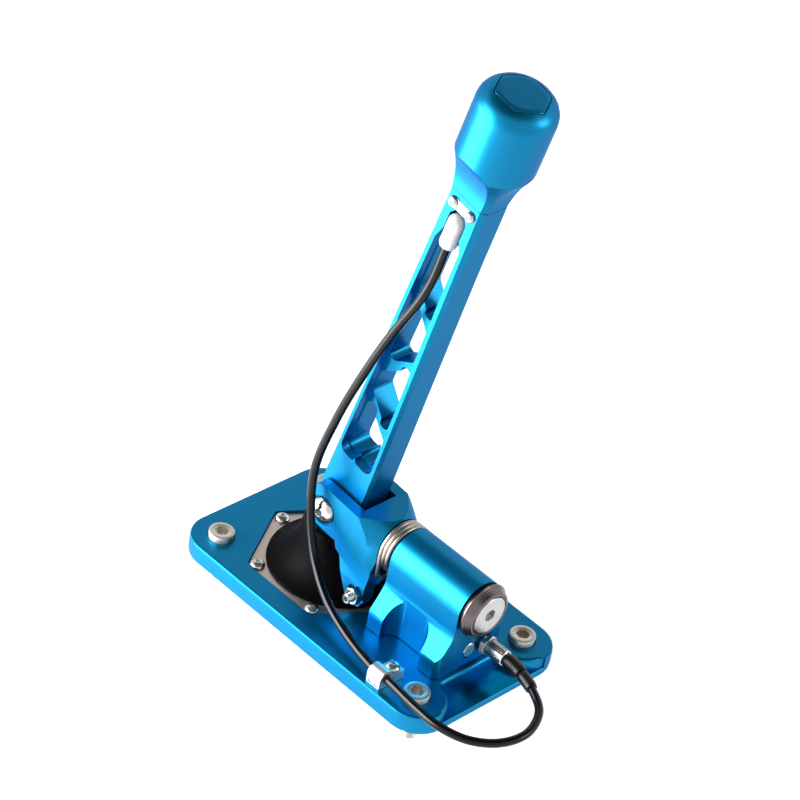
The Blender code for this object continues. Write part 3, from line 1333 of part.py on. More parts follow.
socket_size = BUTTON_CIRCUMRADIUS + BUTTON_GAP / math.cos(math.pi / 6)
socket_hexagon = at(rounded_hexagon(socket_size, BUTTON_CORNER + BUTTON_GAP), KNOB_X, 0.0)
cut(
    knob,
    prism("button_socket", "Z", socket_hexagon, SOCKET_FLOOR, 0.3),
    turned(
        "knob_bore",
        "Z",
        [
            (0, 0.19),
            (STUD_RADIUS + HOLE_GAP, 0.19),
            (STUD_RADIUS + HOLE_GAP, LEVER_TOP + STUD_LENGTH + SEAT_GAP),
            (ROD_RADIUS + HOLE_GAP, LEVER_TOP + STUD_LENGTH + SEAT_GAP),
            (ROD_RADIUS + HOLE_GAP, SOCKET_FLOOR - CHAMBER_DEPTH),
            (CHAMBER_RADIUS, SOCKET_FLOOR - CHAMBER_DEPTH),
            (CHAMBER_RADIUS, SOCKET_FLOOR + 0.002),
            (0, SOCKET_FLOOR + 0.002),
        ],
        (KNOB_X, 0.0),
    ),
)
# Button, push rod and return spring.
button_hexagon = rounded_hexagon(BUTTON_CIRCUMRADIUS, BUTTON_CORNER)
button = add("knob_button", prism("button", "Z", button_hexagon, BUTTON_BOTTOM, 0.3), blue, button_axes)
crown = [(0, 0.2), (KNOB_RADIUS, 0.2), *knob_crown, (0, KNOB_TOP)]
trim(button, turned("crown", "Z", crown, segments=36))
rod_top = BUTTON_BOTTOM - SEAT_GAP
add("push_rod", cylinder("push_rod", "Z", ROD_RADIUS, ROD_BOTTOM, rod_top, segments=12), hard_steel, button_axes)
chamber_floor = SOCKET_FLOOR - CHAMBER_DEPTH
spring_low = chamber_floor + SEAT_GAP + BUTTON_SPRING_WIRE
spring_high = BUTTON_BOTTOM - SEAT_GAP - BUTTON_SPRING_WIRE
turn_steps = 8
helix = []
for i in range(BUTTON_SPRING_TURNS * turn_steps + 1):
    share = i / (BUTTON_SPRING_TURNS * turn_steps)
    angle = math.tau * i / turn_steps
    helix.append(
        (
            BUTTON_SPRING_RADIUS * math.cos(angle),
            BUTTON_SPRING_RADIUS * math.sin(angle),
            spring_low + (spring_high - spring_low) * share,
        )
    )
tube("button_spring", helix, BUTTON_SPRING_WIRE, hard_steel, button_axes, 1)

# Cable clamp on the plate.
clamp_low, clamp_high = CLAMP_X - CLAMP_LENGTH / 2, CLAMP_X + CLAMP_LENGTH / 2
body_out = CLAMP_CABLE_Y - CLAMP_BODY_RADIUS
body_in = CLAMP_CABLE_Y + CLAMP_BODY_RADIUS
clamp_outline = [
    (body_out, HOUSING_BASE_Z),
    (body_in + CLAMP_EAR_LENGTH, HOUSING_BASE_Z),
    (body_in + CLAMP_EAR_LENGTH, CLAMP_EAR_TOP_Z),
    (body_in, CLAMP_EAR_TOP_Z),
    *arc(CLAMP_CABLE_Y, CLAMP_CABLE_Z, CLAMP_BODY_RADIUS, 8, 172, 10),
    (body_out, CLAMP_CABLE_Z),
]
clamp = add("cable_clamp", prism("clamp", "X", clamp_outline, clamp_low, clamp_high), bright, base)
cut(
    clamp,
    cylinder("cable_bore", "X", CABLE_RADIUS + HOLE_GAP, 0.0, 0.09, (CLAMP_CABLE_Y, CLAMP_CABLE_Z), 18),
    cylinder("clamp_hole", "Z", CLAMP_SCREW_RADIUS + HOLE_GAP, 0.0, 0.03, (CLAMP_X, ear_y), 12),
    gathered(
        "grub_holes",
        [
            cylinder("hole", "Y", CLAMP_GRUB_RADIUS + HOLE_GAP, -0.06, body_out + 0.0023,
                     (CLAMP_X + side * CLAMP_GRUB_PITCH / 2, CLAMP_GRUB_Z), 12)
            for side in (-1, 1)
        ],
    ),
)
clamp_screw = button_screw(
    "clamp_screw", "Z", CLAMP_SCREW_HEAD_RADIUS, CLAMP_SCREW_HEAD_HEIGHT, CLAMP_SCREW_RADIUS, 0.0023,
    CLAMP_EAR_TOP_Z + SEAT_GAP, (CLAMP_X, ear_y), segments=12,
)
add("clamp_screw", clamp_screw, steel, base)
clamp_grub = cylinder("clamp_grub", "Y", CLAMP_GRUB_RADIUS, body_out + 0.0002, body_out + 0.002, segments=12)
clamp_grub_places = [(CLAMP_X + side * CLAMP_GRUB_PITCH / 2, 0.0, CLAMP_GRUB_Z) for side in (-1, 1)]
add_copies("clamp_grub_screw", clamp_grub, steel, base, clamp_grub_places)

# Cable from the ferrule, down past the yoke, through the clamp and round to the adjuster.
ferrule_exit = lever_point(FERRULE_X, FERRULE_Y, FERRULE_BOTTOM - SEAT_GAP)
cable_knots = [
    ferrule_exit,
    lever_point(FERRULE_X + 0.0006, FERRULE_Y - 0.0008, FERRULE_BOTTOM - 0.02),
    (0.0057, -0.0106, 0.1884),
    (-0.0049, -0.0129, 0.1640),
    (-0.0150, -0.0157, 0.1358),
    (-0.0242, -0.0186, 0.1042),
    (-0.0296, -0.0212, 0.0722),
    (-0.0242, -0.0237, 0.0463),
    (-0.0142, -0.0278, 0.0315),
    (0.0021, -0.0335, 0.0212),
    (0.0240, -0.0396, 0.0170),
    (clamp_low, CLAMP_CABLE_Y, CLAMP_CABLE_Z),
    (clamp_high, CLAMP_CABLE_Y, CLAMP_CABLE_Z),
    (0.0787, -0.0465, 0.0162),
    (0.0940, -0.0468, 0.0165),
    (0.1090, -0.0420, 0.0168),
    (0.1190, -0.0315, 0.0172),
    (0.1222, -0.0172, 0.0178),
    (0.1156, -0.0022, 0.0185),
]
adjuster_knots = [
    (0.1035, 0.0052, 0.0194),
    (0.0935, 0.0082, 0.0199),
    (barrel_end_x + 0.004, PLUNGER_Y, PLUNGER_Z),
    (barrel_end_x + SEAT_GAP, PLUNGER_Y, PLUNGER_Z),
]
route = smooth_route([*cable_knots, *adjuster_knots], SEAT_GAP)
large_start = len(route) - round(SLEEVE_LENGTH / SEAT_GAP)
small_start = large_start - round(SLEEVE_STEP_LENGTH / SEAT_GAP)


def picked(points, spacing):
    """Evenly picked points, both ends included."""
    count = round((len(points) - 1) * SEAT_GAP / spacing)
    return [points[round((len(points) - 1) * i / count)] for i in range(count + 1)]


tube("sleeve_large", picked(route[large_start:], 0.003), SLEEVE_RADIUS, sheath, base, 3)
tube("sleeve_small", picked(route[small_start : large_start - 1], 0.003), SLEEVE_STEP_RADIUS, sheath, base, 3)
tube("cable", picked(route[: small_start - 1], CABLE_STEP), CABLE_RADIUS, sheath, base, 2)
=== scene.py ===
import math

import bmesh
import bpy
from mathutils import Matrix, Vector


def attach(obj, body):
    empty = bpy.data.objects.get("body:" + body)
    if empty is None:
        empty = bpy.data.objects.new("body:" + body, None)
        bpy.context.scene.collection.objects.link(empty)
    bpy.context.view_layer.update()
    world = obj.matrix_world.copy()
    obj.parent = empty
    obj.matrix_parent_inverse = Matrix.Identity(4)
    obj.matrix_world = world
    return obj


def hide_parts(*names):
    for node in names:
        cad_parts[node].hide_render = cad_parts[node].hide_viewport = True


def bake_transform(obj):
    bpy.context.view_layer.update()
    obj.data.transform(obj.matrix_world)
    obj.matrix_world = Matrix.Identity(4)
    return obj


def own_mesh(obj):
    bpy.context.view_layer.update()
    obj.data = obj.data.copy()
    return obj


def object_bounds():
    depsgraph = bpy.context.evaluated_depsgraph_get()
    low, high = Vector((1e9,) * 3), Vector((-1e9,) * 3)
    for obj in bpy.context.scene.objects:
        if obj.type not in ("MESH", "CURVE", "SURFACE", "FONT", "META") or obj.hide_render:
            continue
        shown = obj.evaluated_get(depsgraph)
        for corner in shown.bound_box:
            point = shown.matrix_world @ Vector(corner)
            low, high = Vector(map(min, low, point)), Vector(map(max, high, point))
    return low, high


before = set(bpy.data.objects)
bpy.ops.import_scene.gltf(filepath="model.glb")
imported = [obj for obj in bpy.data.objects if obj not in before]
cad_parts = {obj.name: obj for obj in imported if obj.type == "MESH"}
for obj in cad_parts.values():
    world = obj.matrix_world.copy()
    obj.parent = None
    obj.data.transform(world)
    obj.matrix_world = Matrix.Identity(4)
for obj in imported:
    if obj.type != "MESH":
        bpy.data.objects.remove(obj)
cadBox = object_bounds()
print("frame loaded:", len(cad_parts), "nodes")


# Placing.
def dropAll():
    for other in bpy.context.selected_objects:
        other.select_set(False)
    bpy.context.view_layer.objects.active = None


def takeUp(piece):  # makes it the only selected object
    dropAll()
    piece.select_set(True)
    bpy.context.view_layer.objects.active = piece


def settle(piece, matrix=None):  # moves a piece to its place and puts the place into its mesh
    if matrix is not None:
        piece.matrix_world = matrix @ piece.matrix_world
    takeUp(piece)
    bpy.ops.object.transform_apply(location=True, rotation=True, scale=True)


def place(x=0.0, y=0.0, z=0.0, toward="Z"):  # a local Z turned to that way, then moved
    turn = {
        "Z": Matrix.Identity(4),
        "-Z": Matrix.Rotation(math.pi, 4, "X"),
        "X": Matrix.Rotation(math.pi / 2, 4, "Y"),
        "Y": Matrix.Rotation(-math.pi / 2, 4, "X"),
        "-Y": Matrix.Rotation(math.pi / 2, 4, "X"),
    }[toward]
    return Matrix.Translation((x, y, z)) @ turn


pivot = {"x": -0.0242, "shaftZ": 0.0463, "leverZ": 0.049, "lean": math.radians(12)}  # the lever leans to +X
leverFrame = (Matrix.Translation((pivot["x"], 0, pivot["leverZ"]))
              @ Matrix.Rotation(pivot["lean"], 4, "Y"))


# Shaping.
def choose(piece, kind, test):  # in edit mode: faces, edges or vertices that pass the test
    bpy.ops.mesh.select_mode(type=kind)
    shape = bmesh.from_edit_mesh(piece.data)
    for group in (shape.verts, shape.edges, shape.faces):
        for part in group:
            part.select_set(False)
    chosen = {"FACE": shape.faces, "EDGE": shape.edges, "VERT": shape.verts}[kind]
    for part in chosen:
        if test(part):
            part.select_set(True)
    shape.select_flush_mode()
    bmesh.update_edit_mesh(piece.data)


def applyModifier(piece, kind, **settings):
    takeUp(piece)
    modifier = piece.modifiers.new(kind.lower(), kind)
    for key, value in settings.items():
        setattr(modifier, key, value)
    bpy.ops.object.modifier_apply(modifier=modifier.name)


def smooth(piece, angle):
    takeUp(piece)
    bpy.ops.object.shade_smooth_by_angle(angle=math.radians(angle))


def turnOnLathe(name, stations, sides=48):  # (radius, height) stations, each an extrusion and a resize
    dropAll()
    radius, height = stations[0]
    bpy.ops.mesh.primitive_circle_add(vertices=sides, radius=radius, fill_type="NGON",
                                      location=(0, 0, height))
    piece = bpy.context.object
    piece.name = name
    bpy.ops.object.transform_apply(location=True, rotation=True, scale=True)
    bpy.ops.object.mode_set(mode="EDIT")
    bpy.ops.mesh.select_all(action="SELECT")
    for nextRadius, nextHeight in stations[1:]:
        bpy.ops.mesh.extrude_region_move(TRANSFORM_OT_translate={"value": (0, 0, nextHeight - height)})
        ratio = nextRadius / radius
        bpy.ops.transform.resize(value=(ratio, ratio, 1), center_override=(0, 0, nextHeight))
        radius, height = nextRadius, nextHeight
    bpy.ops.mesh.select_all(action="SELECT")
    bpy.ops.mesh.normals_make_consistent(inside=False)
    bpy.ops.object.mode_set(mode="OBJECT")
    return piece


def carve(piece, cutter, operation="DIFFERENCE"):  # the cutter is spent
    applyModifier(piece, "BOOLEAN", operation=operation, solver="EXACT", object=cutter)
    bpy.data.objects.remove(cutter, do_unlink=True)


def drill(piece, radius, low, high, sides=32, turn=0.0):
    dropAll()
    bpy.ops.mesh.primitive_cylinder_add(vertices=sides, radius=radius, depth=high - low,
                                        location=(0, 0, (low + high) / 2), rotation=(0, 0, turn))
    carve(piece, bpy.context.object)


def cutSocket(piece, half, low, high, turn=0.0):  # a hexagon; half is half its width across the flats
    drill(piece, half / math.cos(math.pi / 6), low, high, 6, turn)


def copyOf(piece, name):
    takeUp(piece)
    bpy.ops.object.duplicate(linked=False)
    made = bpy.context.object
    made.name = name
    return made


def dress(piece, look, body, *nodes):  # finish, body and the solids it stands for
    piece.data.materials.clear()
    piece.data.materials.append(look)
    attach(piece, body)
    if nodes:
        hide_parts(*nodes)
    return piece


merging = {"gap": 0.000004, "flat": 1.0, "sharp": 32, "weight": 80}  # metres, degrees, degrees, strength


def refine(node, look, body, edge=0.0, shape=None):  # a merged, softened copy of a solid
    piece = copyOf(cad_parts[node], node + "_fine")
    for key in [k for k in piece.keys() if k.startswith("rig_")]:
        del piece[key]
    piece.parent = None
    piece.data.name = piece.name
    settle(piece)
    bpy.ops.object.mode_set(mode="EDIT")
    bpy.ops.mesh.select_all(action="SELECT")
    bpy.ops.mesh.remove_doubles(threshold=merging["gap"])
    bpy.ops.mesh.dissolve_limited(angle_limit=math.radians(merging["flat"]))
    if shape:
        shape(piece)
    bpy.ops.object.mode_set(mode="OBJECT")
    if edge:
        applyModifier(piece, "BEVEL", width=edge, segments=2, limit_method="ANGLE",
                      angle_limit=math.radians(merging["sharp"]), use_clamp_overlap=True)
    smooth(piece, merging["sharp"])
    applyModifier(piece, "WEIGHTED_NORMAL", keep_sharp=True,
                  weight=merging["weight"])  # large flats stay flat beside a bevel
    return dress(piece, look, body, node)


# Finishes. Grains, scratches and rings are drawn 0.6 to 2 mm wide, coarser than the real ones, to show.
def linear(hexColour):  # sRGB hex to the renderer's linear values
    values = [int(hexColour[i:i + 2], 16) / 255 for i in (1, 3, 5)]
    return (*[v / 12.92 if v <= 0.04045 else ((v + 0.055) / 1.055) ** 2.4 for v in values], 1.0)


def addNode(tree, kind, inputs=None, **settings):  # a node with its settings and its links
    node = tree.nodes.new(kind)
    for key, value in settings.items():
        setattr(node, key, value)
    for key, value in (inputs or {}).items():
        if isinstance(value, bpy.types.NodeSocket):
            tree.links.new(value, node.inputs[key])
        else:
            node.inputs[key].default_value = value
    return node


def newLook(name, colour, metallic, roughness, **sockets):
    look = bpy.data.materials.new(name)
    look.use_nodes = True
    tree = look.node_tree
    shader = tree.nodes["Principled BSDF"]
    shader.inputs["Base Color"].default_value = linear(colour)
    shader.inputs["Metallic"].default_value = metallic
    shader.inputs["Roughness"].default_value = roughness
    for key, value in sockets.items():
        shader.inputs[key.replace("_", " ")].default_value = value
    where = addNode(tree, "ShaderNodeTexCoord").outputs["Object"]
    return look, tree, shader, where


def varyColour(tree, shader, factor, first, second):
    mix = addNode(tree, "ShaderNodeMix", {"Factor": factor}, data_type="RGBA")
    mix.inputs["A"].default_value, mix.inputs["B"].default_value = linear(first), linear(second)
    tree.links.new(mix.outputs["Result"], shader.inputs["Base Color"])


def varyRoughness(tree, shader, factor, low, high):
    ranged = addNode(tree, "ShaderNodeMapRange", {"Value": factor, "To Min": low, "To Max": high})
    tree.links.new(ranged.outputs["Result"], shader.inputs["Roughness"])


def addRelief(tree, shader, height, distance):
    bump = addNode(tree, "ShaderNodeBump", {"Height": height, "Distance": distance, "Strength": 1.0})
    tree.links.new(bump.outputs["Normal"], shader.inputs["Normal"])


patches = {"anodised": 28.0, "metal": 120.0, "turned": 150.0}  # soft changes of tone, so many to the metre

# Anodised aluminium, bead blasted first: an even satin blue with a fine grain and soft, wide highlights.
anodised = {"pale": "#0081B0", "deep": "#0078A6", "edge": "#10B4E4", "metallic": 0.94, "specular": 0.05,
            "smoothest": 0.33, "roughest": 0.41, "sealed": 0.2, "sealedRough": 0.28,
            "grain": 0.0006, "grainHeight": 0.000012}  # real grain is 0.1 mm, drawn at 0.6 mm to show


def makeAnodised(name, pale, deep):
    look, tree, shader, where = newLook(
        name, pale, anodised["metallic"], anodised["smoothest"],
        Specular_IOR_Level=anodised["specular"], Specular_Tint=linear(anodised["edge"]),
        Coat_Weight=anodised["sealed"], Coat_Roughness=anodised["sealedRough"])
    cloud = addNode(tree, "ShaderNodeTexNoise",
                    {"Vector": where, "Scale": patches["anodised"], "Detail": 3.0}).outputs["Fac"]
    grain = addNode(tree, "ShaderNodeTexNoise",
                    {"Vector": where, "Scale": 1 / anodised["grain"], "Detail": 2.0}).outputs["Fac"]
    varyColour(tree, shader, cloud, deep, pale)
    varyRoughness(tree, shader, grain, anodised["smoothest"], anodised["roughest"])
    addRelief(tree, shader, grain, anodised["grainHeight"])
    return look


blueAnodised = makeAnodised("anodised_aluminium_satin", anodised["pale"], anodised["deep"])

# The same anodising over an unblasted milled floor: darker, with the cutter's lines still showing.
cutterLines = {"spacing": 0.0014, "stretch": 30, "dark": "#005F8C", "pale": "#0088BA", "roughness": 0.2,
               "smoothest": 0.15, "roughest": 0.28, "height": 0.00003}  # it steps over by 0.7 mm, drawn wider


def makeMilledAnodised(name):
    look, tree, shader, where = newLook(
        name, anodised["pale"], anodised["metallic"], cutterLines["roughness"],
        Specular_IOR_Level=anodised["specular"], Specular_Tint=linear(anodised["edge"]))
    spacing = cutterLines["spacing"]
    scale = (1 / spacing, 1 / (spacing * cutterLines["stretch"]), 1 / spacing)
    along = addNode(tree, "ShaderNodeMapping", {"Vector": where, "Scale": scale}).outputs["Vector"]
    lines = addNode(tree, "ShaderNodeTexNoise", {"Vector": along, "Scale": 1.0, "Detail": 2.0}).outputs["Fac"]
    varyColour(tree, shader, lines, cutterLines["dark"], cutterLines["pale"])
    varyRoughness(tree, shader, lines, cutterLines["smoothest"], cutterLines["roughest"])
    addRelief(tree, shader, lines, cutterLines["height"])
    return look


milledFloor = makeMilledAnodised("anodised_aluminium_milled")
print("finishes: anodised")


def makeMetal(name, pale, dark, roughness, spread, grain, height):  # plain metal with small scratches
    look, tree, shader, where = newLook(name, pale, 1.0, roughness)
    cloud = addNode(tree, "ShaderNodeTexNoise",
                    {"Vector": where, "Scale": patches["metal"], "Detail": 4.0}).outputs["Fac"]
    marks = addNode(tree, "ShaderNodeTexNoise",
                    {"Vector": where, "Scale": 1 / grain, "Detail": 3.0, "Roughness": 0.6}).outputs["Fac"]
    varyColour(tree, shader, cloud, dark, pale)
    varyRoughness(tree, shader, marks, roughness - spread, roughness + spread)
    addRelief(tree, shader, marks, height)
    return look


# Bright zinc on steel screws: pale, slightly cool and glossy, with small dull spots.
zincSteel = makeMetal("zinc_plated_steel", "#DCDEDC", "#BCBDBA", 0.25, 0.05, 0.0009, 0.000004)
# Ground steel of pins and the shaft: smooth and bright, with a soft reflection.
groundSteel = makeMetal("ground_steel", "#D4D1CC", "#B4B0AA", 0.27, 0.04, 0.0007, 0.000002)
# Stainless spring wire: warm grey, drawn, half matt.
springSteel = makeMetal("drawn_spring_steel", "#BCB0A6", "#9A8F86", 0.3, 0.06, 0.0008, 0.000006)
# Nickel on the cylinder-head screws: warm silver, satin from tumbling.
nickelSteel = makeMetal("tumbled_nickel_steel", "#E2DDD4", "#C2BCB2", 0.42, 0.07, 0.0009, 0.000008)
# Machined aluminium left bare: nearly white with a short cutter grain.
bareAluminium = makeMetal("machined_aluminium", "#ECECEC", "#D2D3D5", 0.4, 0.07, 0.0008, 0.000008)


def makeBrushed(name, pale, dark, roughness, along, spacing):  # long scratches that lie one way
    look, tree, shader, where = newLook(name, pale, 1.0, roughness)
    scale = [1 / spacing] * 3
    scale["XYZ".index(along)] = 1 / (spacing * 40)  # each scratch is 40 times as long as wide
    drawn = addNode(tree, "ShaderNodeMapping", {"Vector": where, "Scale": scale}).outputs["Vector"]
    lines = addNode(tree, "ShaderNodeTexNoise", {"Vector": drawn, "Scale": 1.0, "Detail": 4.0}).outputs["Fac"]
    varyColour(tree, shader, lines, dark, pale)
    varyRoughness(tree, shader, lines, roughness - 0.08, roughness + 0.1)
    addRelief(tree, shader, lines, 0.000012)
    return look


# Sheet stainless, brushed lengthwise: warm grey with fine lines.
brushedStainless = makeBrushed("brushed_stainless_sheet", "#DACDC3", "#BDB1A8", 0.38, "X", 0.0006)


def makeTurned(name, pale, dark, roughness, centre, spacing):  # lathe rings round the shaft's axis
    look, tree, shader, where = newLook(name, pale, 1.0, roughness)
    centred = addNode(tree, "ShaderNodeMapping",
                      {"Vector": where, "Location": (0.0, -centre[0], -centre[1])}).outputs["Vector"]
    rings = addNode(tree, "ShaderNodeTexWave",
                    {"Vector": centred, "Scale": 1 / (spacing * 3.14), "Distortion": 0.4, "Detail": 1.0},
                    wave_type="RINGS", rings_direction="X").outputs["Fac"]
    tone = addNode(tree, "ShaderNodeTexNoise",
                   {"Vector": where, "Scale": patches["turned"], "Detail": 3.0}).outputs["Fac"]
    varyColour(tree, shader, tone, dark, pale)
    varyRoughness(tree, shader, rings, roughness - 0.05, roughness + 0.07)
    addRelief(tree, shader, rings, 0.000010)
    return look


# Turned stainless cap: warm grey, its lathe rings catch the light as thin arcs.
turnedStainless = makeTurned("turned_stainless", "#7F7374", "#675C5D", 0.27, (0.0, pivot["shaftZ"]), 0.0006)


def makePlastic(name, pale, dark, low, high, grain, height, **sockets):
    look, tree, shader, where = newLook(name, pale, 0.0, low, **sockets)
    marks = addNode(tree, "ShaderNodeTexNoise",
                    {"Vector": where, "Scale": 1 / grain, "Detail": 4.0}).outputs["Fac"]
    varyColour(tree, shader, marks, dark, pale)
    varyRoughness(tree, shader, marks, low, high)
    addRelief(tree, shader, marks, height)
    return look


# Moulded rubber: black and dry, its high spots a touch greyer.
bootRubber = makePlastic("moulded_rubber", "#040405", "#020203", 0.42, 0.56, 0.0012, 0.00003,
                         Specular_IOR_Level=0.03)
# Extruded PVC over the cable: black with a soft, long highlight.
cableSheath = makePlastic("extruded_pvc", "#08070A", "#040306", 0.16, 0.22, 0.0015, 0.00001,
                          Specular_IOR_Level=0.28)
# Heat-shrink tube: black, a little duller and wavier than the cable.
shrinkTube = makePlastic("heat_shrink_tube", "#0B0B0D", "#060608", 0.3, 0.45, 0.0022, 0.00006,
                         Specular_IOR_Level=0.35)
# Turned nylon: opaque white with a waxy surface.
turnedNylon = makePlastic("turned_nylon", "#F4F4F2", "#E9E9E6", 0.35, 0.45, 0.001, 0.00001)
# Acetal bushes and washers: black and smooth.
acetal = makePlastic("black_acetal", "#0B0B0C", "#060607", 0.35, 0.45, 0.001, 0.00001,
                     Specular_IOR_Level=0.25)
print("finishes:", len(bpy.data.materials))

# Milled pieces.
hair = 0.0001  # closer than this counts as the same place
plate = {"halfLength": 0.0858, "halfWidth": 0.0505, "corner": 0.0165, "top": 0.0105, "rim": 0.0009,
         "rimFrom": 0.001, "screwX": 0.0693, "screwY": 0.0356, "counterbore": 0.01, "recessX": 0.069,
         "recessFloor": 0.0043, "recessEdge": 0.002, "fold": 0.5}


def onOutline(spot):  # on the plate's outer wall
    dx = abs(spot.x) - (plate["halfLength"] - plate["corner"])
    dy = abs(spot.y) - (plate["halfWidth"] - plate["corner"])
    away = math.hypot(max(dx, 0), max(dy, 0)) + min(max(dx, dy), 0) - plate["corner"]
    return abs(away) < hair


def isLevel(edge):
    return abs(edge.verts[0].co.z - edge.verts[1].co.z) < hair / 10


def isRim(edge):  # the plate's upper outer edge; rimFrom leaves the underside's out
    first, second = edge.verts[0].co, edge.verts[1].co
    return isLevel(edge) and first.z > plate["rimFrom"] and onOutline(first) and onOutline(second)


def isRecessTop(edge):  # the recess's upper edge, but not the screws' counterbores
    first, second = edge.verts[0].co, edge.verts[1].co
    fromScrew = math.hypot(first.x - plate["screwX"], abs(first.y) - plate["screwY"])
    inside = all(spot.x > plate["recessX"] and not onOutline(spot) for spot in (first, second))
    folded = edge.calc_face_angle(0) > plate["fold"]
    onTop = isLevel(edge) and abs(first.z - plate["top"]) < hair
    return onTop and folded and inside and fromScrew > plate["counterbore"]


def roundPlate(piece):
    choose(piece, "EDGE", isRecessTop)
    bpy.ops.mesh.bevel(offset=plate["recessEdge"], segments=4, affect="EDGES", clamp_overlap=False)
    choose(piece, "EDGE", isRim)
    bpy.ops.mesh.bevel(offset=plate["rim"], segments=3, affect="EDGES", clamp_overlap=True)


plateFine = refine("base_plate", blueAnodised, "base", 0.00025, shape=roundPlate)
plateFine.data.materials.append(milledFloor)
for face in plateFine.data.polygons:
    inRecess = abs(face.center.z - plate["recessFloor"]) < hair and face.center.x > plate["recessX"]
    if inRecess and face.normal.z > 0.99:
        face.material_index = 1

milled = {  # node: body, finish, how wide its edges are softened
    "pivot_housing": ("base", blueAnodised, 0.0008),
    "yoke": ("yoke", blueAnodised, 0.0005),
    "lever": ("lever", blueAnodised, 0.00035),
    "knob": ("lever", blueAnodised, 0.00015),
    "knob_button": ("button", blueAnodised, 0.0005),
    "boot_ring": ("base", brushedStainless, 0.00015),
    "cable_clamp": ("base", bareAluminium, 0.0003),
    "retainer_strip": ("lever", bareAluminium, 0.0002),
}
for node, (body, look, edge) in milled.items():
    refine(node, look, body, edge)
print("milled pieces:", len(milled))

# Pins, bushes and what lies inside.
plain = {
    "cap_bush": ("base", acetal), "yoke_bush": ("base", acetal), "stop_pin": ("base", groundSteel),
    "spring_anchor_pin": ("base", groundSteel), "spring_drive_pin": ("yoke", groundSteel),
    "cross_shaft": ("yoke", groundSteel), "thrust_washer_1": ("yoke", acetal),
    "thrust_washer_2": ("yoke", acetal), "pivot_bush": ("lever", acetal), "eye_bush": ("lever", acetal),
    "button_spring": ("lever", springSteel), "push_rod": ("button", groundSteel),
    "lock_plunger": ("plunger", groundSteel), "clamp_grub_screw_1": ("base", zincSteel),
    "clamp_grub_screw_2": ("base", zincSteel),
}
plainFine = {node: refine(node, look, body) for node, (body, look) in plain.items()}

coilPiece = plainFine["button_spring"]
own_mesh(coilPiece)
print("pins and bushes:", len(plain))

# Screws and nuts.
thread = {"root": 0.9, "crestAt": 0.2, "rootAt": 0.65, "tip": 0.8}  # shares of the radius and of a turn
overrun = 0.001  # how far a cutter stands out of the face that it cuts


def threadStations(radius, low, high, pitch):  # ring grooves of a thread, from low to high
    turns = max(1, round((high - low) / pitch))
    step = (high - low) / turns
    stations = []
    for i in range(turns):
        stations += [(radius, low + step * (i + thread["crestAt"])),
                     (radius * thread["root"], low + step * (i + thread["rootAt"]))]
    return stations


# Both forms are in shares of the shank's radius, the head's radius or the head's height; turn is in radians.
capForm = {"lead": 0.2, "edge": 0.07, "mouth": 0.66, "dish": 0.62, "socketFloor": 0.45, "turn": 0.3}
domeForm = {"lead": 0.25, "threadEnd": 0.3, "neck": 0.2, "brim": 0.97, "brimTop": 0.06, "rise": 0.1,
            "flat": 0.33, "socketFloor": 0.4, "turn": 0.2, "angles": (10, 22, 34, 46, 57, 67)}


def makeCapScrew(size):  # a cylinder head with a hexagon socket, its seat at height 0
    head, tall, shank, below = size["head"], size["tall"], size["shank"], size["below"]
    edge, lead, threadEnd = tall * capForm["edge"], -below + shank * capForm["lead"], -below + size["thread"]
    stations = [(shank * thread["tip"], -below), (shank, lead)]
    stations += threadStations(shank, lead, threadEnd, size["pitch"])
    stations += [(shank, threadEnd), (shank, 0.0), (head - edge * 0.4, 0.0), (head, edge * 0.4),
                 (head, tall - edge), (head - edge * 0.35, tall - edge * 0.3), (head - edge * 1.1, tall),
                 (head * capForm["mouth"], tall), (head * capForm["dish"], tall - edge * 0.25)]
    screw = turnOnLathe("screw_master", stations)
    cutSocket(screw, size["socket"], tall * capForm["socketFloor"], tall * 1.2, capForm["turn"])
    smooth(screw, 34)
    return screw


def makeButtonScrew(size):  # a domed head with a hexagon socket
    head, tall, shank, below = size["head"], size["tall"], size["shank"], size["below"]
    lead = -below + shank * domeForm["lead"]
    stations = [(shank * thread["tip"], -below), (shank, lead)]
    stations += threadStations(shank, lead, -shank * domeForm["threadEnd"], size["pitch"])
    stations += [(shank, -shank * domeForm["neck"]), (shank, 0.0), (head * domeForm["brim"], 0.0),
                 (head, tall * domeForm["brimTop"])]
    for angle in domeForm["angles"]:
        a, rise = math.radians(angle), domeForm["rise"]
        stations.append((head * math.cos(a), tall * (rise + (1 - rise) * math.sin(a))))
    stations.append((head * domeForm["flat"], tall))
    screw = turnOnLathe("screw_master", stations, 40)
    cutSocket(screw, size["socket"], tall * domeForm["socketFloor"], tall * 1.2, domeForm["turn"])
    smooth(screw, 34)
    return screw


def placeCopies(master, node, places, body, look):  # numbered where there are several; the master is spent
    for number, matrix in enumerate(places, 1):
        name = node if len(places) == 1 else f"{node}_{number}"
        made = copyOf(master, name + "_fine")
        settle(made, matrix)
        dress(made, look, body, name)
    bpy.data.objects.remove(master, do_unlink=True)


mountingScrew = {"head": 0.0065, "tall": 0.008, "shank": 0.004, "below": 0.0197, "thread": 0.014,
                 "pitch": 0.00125, "socket": 0.003, "seat": 0.0059}
corners = [(sx * plate["screwX"], sy * plate["screwY"]) for sx in (-1, 1) for sy in (-1, 1)]
placeCopies(makeCapScrew(mountingScrew), "mounting_screw",
            [place(x, y, mountingScrew["seat"]) for x, y in corners], "base", nickelSteel)

